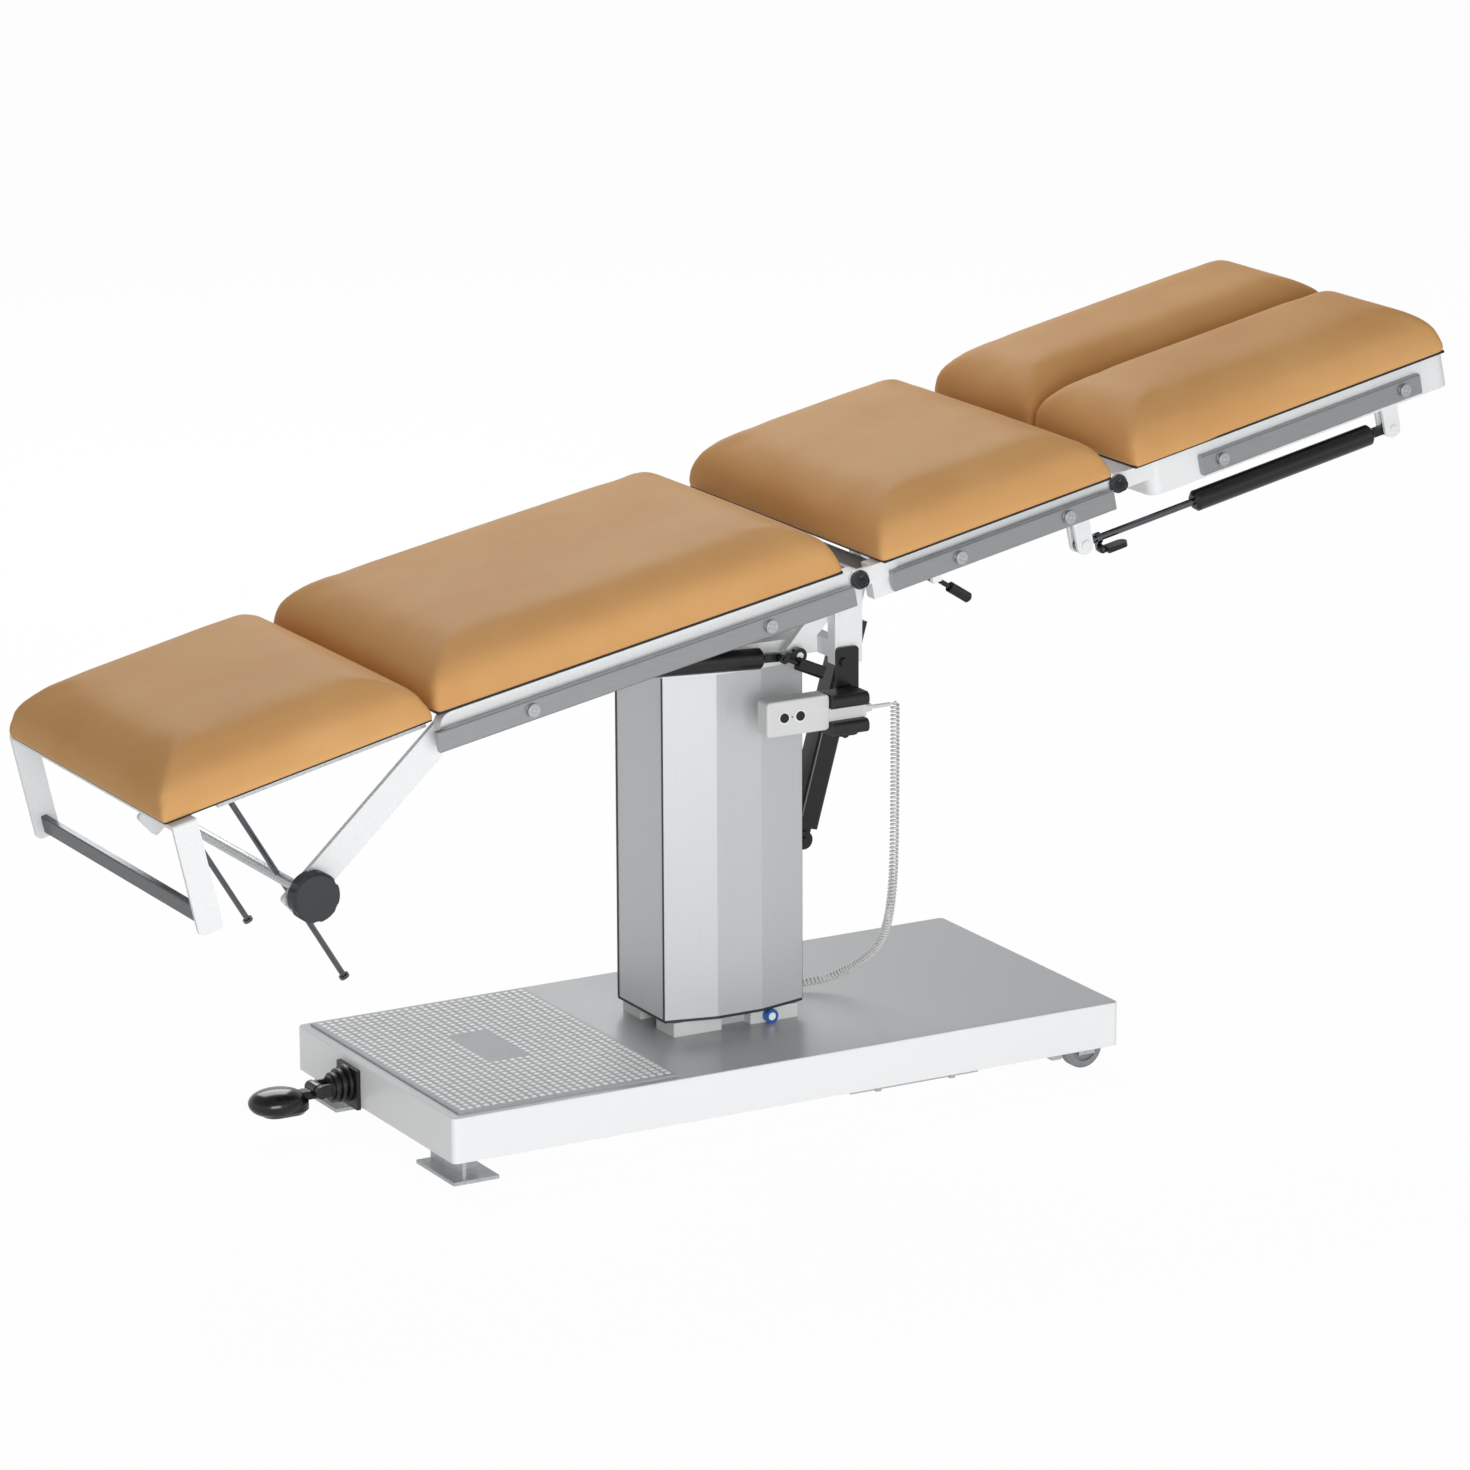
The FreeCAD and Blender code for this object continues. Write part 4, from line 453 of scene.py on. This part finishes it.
def makeBoardEdgeAndShade(name, facts, low, high):
    # The cushion's board shows as a thin black line between the vinyl and the tubes; the black is partly the
    # board's edge and partly painted shade in the gap under the vinyl.
    size = Vector((high.x - low.x, high.y - low.y, 0)) - Vector((1, 1, 0)) * 2 * boardEdgeAndShade["inset"]
    deselect()
    bpy.ops.mesh.primitive_cube_add(size=1)
    board = bpy.context.object
    board.scale = (size.x, size.y, boardEdgeAndShade["height"])
    bpy.ops.object.transform_apply(location=False, rotation=False, scale=True)
    bpy.ops.object.mode_set(mode="EDIT")
    bpy.ops.mesh.select_all(action="SELECT")
    bpy.ops.mesh.bevel(offset=boardEdgeAndShade["bevel"], segments=2, affect="EDGES")
    bpy.ops.object.mode_set(mode="OBJECT")
    middle = (low + high) / 2
    height = low.z + boardEdgeAndShade["height"] / 2 + boardEdgeAndShade["seat"]
    board.data.transform(facts["board"] @ Matrix.Translation((middle.x, middle.y, height)))
    board = settle(board, name + "_board_and_shade")
    dress(board, "mattBlackRubber")
    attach(board, facts["body"])


for cushionName, facts in cushions.items():
    makeBoardEdgeAndShade(cushionName, facts, *makeCushion(cushionName, facts, cushionCare))

# Tread mat: rows of small rounded studs round a bare field

mat = {
    "startX": -508.5, "endX": -174.5, "halfWidth": 228, "top": 98.5,
    "pitch": 12.0, "stud": 7.7, "studHeight": 1.2, "edge": 9,
    "bareX": -341, "bareY": 12, "bareLength": 70, "bareWidth": 128,
    "sunk": 0.7, "bevel": 0.9,
}


def makeStuds(facts):
    deselect()
    height = facts["top"] + facts["sunk"] / 2
    bpy.ops.mesh.primitive_cube_add(size=1, location=place(facts["startX"], 0, height))
    stud = bpy.context.object
    stud.scale = (facts["stud"] / 1000, facts["stud"] / 1000, (facts["studHeight"] + facts["sunk"]) / 1000)
    bpy.ops.object.transform_apply(location=False, rotation=False, scale=True)
    bpy.ops.object.mode_set(mode="EDIT")
    bpy.ops.mesh.select_all(action="SELECT")
    bpy.ops.mesh.bevel(offset=facts["bevel"] / 1000, segments=1, affect="EDGES")
    bpy.ops.object.mode_set(mode="OBJECT")
    columns = int((facts["endX"] - facts["startX"] - 2 * facts["edge"]) / facts["pitch"]) + 1
    rows = int((2 * facts["halfWidth"] - 2 * facts["edge"]) / facts["pitch"]) + 1
    startX = (facts["startX"] + facts["endX"] - (columns - 1) * facts["pitch"]) / 2
    startY = -(rows - 1) * facts["pitch"] / 2
    points = []
    for i in range(columns):
        for j in range(rows):
            x = startX + i * facts["pitch"]
            y = startY + j * facts["pitch"]
            bareX = abs(x - facts["bareX"]) < facts["bareLength"] / 2
            bareY = abs(y - facts["bareY"]) < facts["bareWidth"] / 2
            if not (bareX and bareY):
                points.append(place(x, y, height))
    copies = []
    for point in points:
        copy = stud.copy()
        copy.data = stud.data.copy()
        copy.location = point
        bpy.context.collection.objects.link(copy)
        copies.append(copy)
    bpy.data.objects.remove(stud)
    return joined(copies, "tread_studs")


studs = makeStuds(mat)
dress(studs, "whiteRubber")
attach(studs, "base")
print("studs", len(studs.data.polygons))

# Curly cord of the handset: the helix follows the drawn route

cord = {
    "route": [(211, -148, 551), (212, -147, 400), (214, -138, 262), (226, -84, 176),
              (206, 2, 118), (160, 28, 106), (112, 42, 104)],
    "wire": 3.4, "coil": 13.4, "pitch": 5.6, "perTurn": 14, "narrowest": 0.02,
}


def routeLine(points):
    curve = bpy.data.curves.new("route", "CURVE")
    curve.dimensions = "3D"
    curve.resolution_u = 24
    spline = curve.splines.new("NURBS")
    spline.points.add(len(points) - 1)
    for point, (x, y, z) in zip(spline.points, points):
        point.co = (*place(x, y, z), 1)
    spline.order_u = 3
    spline.use_endpoint_u = True
    obj = bpy.data.objects.new("route", curve)
    bpy.context.collection.objects.link(obj)
    bpy.context.view_layer.update()
    mesh = bpy.data.meshes.new_from_object(obj.evaluated_get(bpy.context.evaluated_depsgraph_get()))
    line = [v.co.copy() for v in mesh.vertices]
    bpy.data.objects.remove(obj)
    bpy.data.meshes.remove(mesh)
    return line


def evenly(line, step):
    # Points at equal steps along a line, each with its direction.
    result = []
    carried = 0.0
    for a, b in zip(line, line[1:]):
        length = (b - a).length
        while carried < length:
            result.append((a.lerp(b, carried / length), (b - a).normalized()))
            carried += step
        carried -= length
    result.append((line[-1].copy(), (line[-1] - line[-2]).normalized()))
    return result


def helixPoints(facts):
    line = routeLine(facts["route"])
    step = facts["pitch"] / facts["perTurn"] / 1000
    samples = evenly(line, step)
    radius = (facts["coil"] - facts["wire"]) / 2000
    across = Vector((1, 0, 0))
    points = []
    count = len(samples)
    for i, (centre, direction) in enumerate(samples):
        across = (across - direction * across.dot(direction)).normalized()
        up = direction.cross(across)
        turn = 2 * math.pi * i / facts["perTurn"]
        grow = min(1.0, i / facts["perTurn"], (count - 1 - i) / facts["perTurn"])
        offset = (across * math.cos(turn) + up * math.sin(turn)) * radius * max(grow, facts["narrowest"])
        points.append(centre + offset)
    return points


def makeCord(facts):
    points = helixPoints(facts)
    curve = bpy.data.curves.new("handset_coil", "CURVE")
    curve.dimensions = "3D"
    curve.bevel_depth = facts["wire"] / 2000
    curve.bevel_resolution = 1
    curve.use_fill_caps = True
    spline = curve.splines.new("POLY")
    spline.points.add(len(points) - 1)
    for point, spot in zip(spline.points, points):
        point.co = (*spot, 1)
    obj = bpy.data.objects.new("handset_coil", curve)
    bpy.context.collection.objects.link(obj)
    pick(obj)
    bpy.ops.object.convert(target="MESH")
    obj = bpy.context.object
    bpy.ops.object.shade_smooth()
    dress(obj, "cordSkin")
    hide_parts("handset_cord")
    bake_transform(obj)


makeCord(cord)

# Round trim: button rims, rail screws, hinge caps and the earth socket

handset = {"x": 41, "y": -161, "z": 554, "spacing": 25, "rim": 17.0, "hole": 13.8, "height": 0.6,
           "lamp": 2.4, "lampHeight": 0.5}
railScrew = {"drop": -17.05, "out": 275, "rim": 18.6, "ring": 13.4, "ringWidth": 1.3, "socket": 5.2,
             "height": 0.5, "darkHeight": 0.8}
cap = {"out": 273, "ring": 17, "hole": 13.5, "button": 9, "height": 0.8, "buttonHeight": 1.4,
       "bevel": 0.5}
socket = {"x": 52, "y": -84, "z": 105.5, "ring": 19, "hole": 11.5, "height": 0.8, "faceHeight": 0.4}
roundSides = 32


def makeRound(centre, side, across, height):
    # A flat disc standing out from a wall that faces along Y; side is -1 or 1.
    deselect()
    at = centre + Vector((0, side * height / 2000, 0))
    bpy.ops.mesh.primitive_cylinder_add(vertices=roundSides, radius=across / 2000, depth=height / 1000,
                                        end_fill_type="NGON", location=at, rotation=(math.pi / 2, 0, 0))
    return bpy.context.object


def makeDisc(centre, side, across, height, bevel=0.3):
    disc = makeRound(centre, side, across, height)
    bpy.ops.object.mode_set(mode="EDIT")
    bpy.ops.mesh.select_all(action="SELECT")
    bpy.ops.mesh.bevel(offset=min(bevel, height * 0.45) / 1000, segments=1, affect="EDGES")
    bpy.ops.object.mode_set(mode="OBJECT")
    return disc


def makeRing(centre, side, outer, inner, height):
    ring = makeRound(centre, side, outer, height)
    bpy.ops.object.mode_set(mode="EDIT")
    bpy.ops.mesh.select_all(action="DESELECT")
    bpy.ops.mesh.select_mode(type="FACE")
    bpy.ops.object.mode_set(mode="OBJECT")
    for face in ring.data.polygons:
        face.select = len(face.vertices) == roundSides
    bpy.ops.object.mode_set(mode="EDIT")
    bpy.ops.mesh.inset(thickness=(outer - inner) / 2000, depth=0)
    bpy.ops.mesh.bridge_edge_loops()
    bpy.ops.object.mode_set(mode="OBJECT")
    return ring


def finishTrim(parts, name, finish, body):
    trim = joined(parts, name)
    smooth(trim)
    dress(trim, finish)
    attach(trim, body)


def onBoard(board, u, side, out, drop):
    return board @ Vector((u / 1000, side * out / 1000, drop / 1000))


def makeHandsetTrim(facts):
    spots = [place(facts["x"] + side * facts["spacing"] / 2, facts["y"], facts["z"]) for side in (-1, 1)]
    rims = [makeRing(spot, -1, facts["rim"], facts["hole"], facts["height"]) for spot in spots]
    finishTrim(rims, "button_rims", "whiteRubber", "lift")
    lamp = makeDisc(place(facts["x"], facts["y"], facts["z"]), -1, facts["lamp"],
                    facts["lampHeight"])
    finishTrim([lamp], "handset_lamp", "darkGreyPlastic", "lift")


def makeRailScrews(name, board, body, places, signs, facts):
    spots = [(onBoard(board, u, side, facts["out"], facts["drop"]), side) for u in places for side in signs]
    rims = [makeDisc(spot, side, facts["rim"], facts["height"]) for spot, side in spots]
    finishTrim(rims, name + "_screw_rims", "polishedChrome", body)
    inner = facts["ring"] - 2 * facts["ringWidth"]
    dark = []
    for spot, side in spots:
        dark.append(makeRing(spot, side, facts["ring"], inner, facts["darkHeight"]))
        dark.append(makeDisc(spot, side, facts["socket"], facts["darkHeight"]))
    finishTrim(dark, name + "_screw_rings", "zincSteel", body)


def makeCapCentres(name, board, body, u, signs, facts):
    spots = [(onBoard(board, u, side, facts["out"], 0), side) for side in signs]
    rings = [makeRing(spot, side, facts["ring"], facts["hole"], facts["height"]) for spot, side in spots]
    rings += [makeDisc(spot, side, facts["button"], facts["buttonHeight"], facts["bevel"])
              for spot, side in spots]
    finishTrim(rings, name, "glossBlackPlastic", body)


def makeSocketFace(facts):
    centre = place(facts["x"], facts["y"], facts["z"])
    finishTrim([makeRing(centre, -1, facts["ring"], facts["hole"], facts["height"])], "socket_ring",
               "bluePlastic", "base")
    finishTrim([makeDisc(centre, -1, facts["hole"], facts["faceHeight"])], "socket_face", "whiteRubber",
               "base")


makeHandsetTrim(handset)
makeRailScrews("seat", seatBoard, "seat", (152, 328), (-1, 1), railScrew)
makeRailScrews("back", backBoard, "back", (-148, -512), (-1, 1), railScrew)
makeRailScrews("leg_right", legBoard, "leg_right", (165, 474), (-1,), railScrew)
makeRailScrews("leg_left", legBoard, "leg_left", (165, 474), (1,), railScrew)
makeCapCentres("back_cap_centres", seatBoard, "seat", 0, (-1, 1), cap)
makeCapCentres("leg_cap_centres", seatBoard, "seat", 418, (-1, 1), cap)
makeSocketFace(socket)
print("round trim ready")

# Foot pedal: a full, rounded rubber pad over the pedal's blade

pad = {"x": -634, "y": 72, "z": 49, "length": 96, "width": 78, "height": 46, "rounding": 4}


def makePedalPad(facts):
    deselect()
    bpy.ops.mesh.primitive_cube_add(size=1, location=place(facts["x"], facts["y"], facts["z"]))
    obj = bpy.context.object
    obj.scale = (facts["length"] / 1000, facts["width"] / 1000, facts["height"] / 1000)
    bpy.ops.object.transform_apply(location=False, rotation=False, scale=True)
    finer = obj.modifiers.new("finer", "SUBSURF")
    finer.levels = facts["rounding"]
    bpy.ops.object.modifier_apply(modifier="finer")
    bpy.ops.object.shade_smooth()
    finishTrim([obj], "pedal_pad", "glossBlackPlastic", "pedal")


makePedalPad(pad)
print("pedal pad ready")

# Floor, lights and camera

studio = {
    "floorSize": 30, "floorColour": "#FFFFFF", "world": 0.3, "floorSeen": 0.97, "floorMirrored": 0.35,
    "floorBounce": 0.4,
    "wallTop": 0.2, "ceilingFrom": 0.6, "ceiling": 0.45,     # white wall, greyer overhead
    "aim": (0, 0, 0.5),
    "lamps": [("front", (-1.5, -5.0, 0.9), 2.8, 178), ("back", (0.9, 4.0, 3.7), 3.2, 150)],
    "eye": (-4.063, -7.348, 2.736), "target": (0.0417, 0, 0.4915), "roll": -0.25, "lens": 154.3,
}


def makeFloor(facts):
    deselect()
    bpy.ops.mesh.primitive_plane_add(size=facts["floorSize"], location=(0, 0, -0.0005))
    floor = settle(bpy.context.object, "studio_floor")
    material, shader = newMaterial("studioPaper", facts["floorColour"], Roughness=0.9)
    white = addNode(material, "ShaderNodeEmission", {"Color": (1, 1, 1, 1), "Strength": 1.0})
    path = addNode(material, "ShaderNodeLightPath")
    mirrored = addNode(material, "ShaderNodeMath", None, {0: path.outputs["Is Glossy Ray"],
                                                          1: path.outputs["Is Transmission Ray"]},
                       operation="MAXIMUM")
    bounced = addNode(material, "ShaderNodeMath", {1: facts["floorBounce"]},
                      {0: path.outputs["Is Diffuse Ray"]}, operation="MULTIPLY")
    seen = addNode(material, "ShaderNodeMath", {1: facts["floorSeen"]},
                   {0: path.outputs["Is Camera Ray"], 2: bounced.outputs[0]}, operation="MULTIPLY_ADD")
    share = addNode(material, "ShaderNodeMath", {1: facts["floorMirrored"]},
                    {0: mirrored.outputs[0], 2: seen.outputs[0]}, operation="MULTIPLY_ADD")
    mix = addNode(material, "ShaderNodeMixShader", None, {"Fac": share.outputs[0],
                                                          1: shader.outputs["BSDF"],
                                                          2: white.outputs["Emission"]})
    output = material.node_tree.nodes["Material Output"]
    material.node_tree.links.new(mix.outputs[0], output.inputs["Surface"])
    floor.data.materials.append(material)


def makeWorld(facts):
    # A white wall all round with a greyer ceiling, which the camera and the shiny metals see.
    world = bpy.data.worlds.new("studioWorld")
    world.use_nodes = True
    bpy.context.scene.world = world
    background = world.node_tree.nodes["Background"]
    background.inputs["Color"].default_value = (1, 1, 1, 1)
    where = addNode(world, "ShaderNodeTexCoord")
    parts = addNode(world, "ShaderNodeSeparateXYZ", None, {"Vector": where.outputs["Generated"]})
    wall = addNode(world, "ShaderNodeMapRange", {"From Min": facts["wallTop"],
                                                 "From Max": facts["ceilingFrom"],
                                                 "To Min": 1.0, "To Max": facts["ceiling"]},
                   {"Value": parts.outputs["Z"]})
    path = addNode(world, "ShaderNodeLightPath")
    seen = addNode(world, "ShaderNodeMath", None, {0: path.outputs["Is Camera Ray"],
                                                   1: path.outputs["Is Glossy Ray"]}, operation="MAXIMUM")
    through = addNode(world, "ShaderNodeMath", None, {0: seen.outputs[0],
                                                      1: path.outputs["Is Transmission Ray"]},
                      operation="MAXIMUM")
    level = addNode(world, "ShaderNodeMapRange", {"To Min": facts["world"]},
                    {"Value": through.outputs[0], "To Max": wall.outputs["Result"]})
    world.node_tree.links.new(level.outputs["Result"], background.inputs["Strength"])


def makeLamp(name, where, size, power, aim):
    light = bpy.data.lights.new(name, "AREA")
    light.energy = power
    light.size = size
    lamp = bpy.data.objects.new(name, light)
    bpy.context.collection.objects.link(lamp)
    lamp.location = Vector(where)
    lamp.rotation_euler = (Vector(aim) - Vector(where)).to_track_quat("-Z", "Y").to_euler()


def makeCamera(facts):
    data = bpy.data.cameras.new("camera")
    data.lens = facts["lens"]
    data.sensor_width = 36
    camera = bpy.data.objects.new("camera", data)
    bpy.context.collection.objects.link(camera)
    shift = Vector((originShift, 0, 0))
    eye = Vector(facts["eye"]) + shift
    target = Vector(facts["target"]) + shift
    look = (target - eye).to_track_quat("-Z", "Y")
    camera.rotation_mode = "QUATERNION"
    camera.rotation_quaternion = look @ Matrix.Rotation(math.radians(facts["roll"]), 4, "Z").to_quaternion()
    camera.location = eye
    data.clip_end = 100
    bpy.context.scene.camera = camera


makeFloor(studio)
makeWorld(studio)
for lamp in studio["lamps"]:
    makeLamp(*lamp, studio["aim"])
makeCamera(studio)
bpy.context.scene.view_settings.view_transform = "Standard"
print("studio ready")
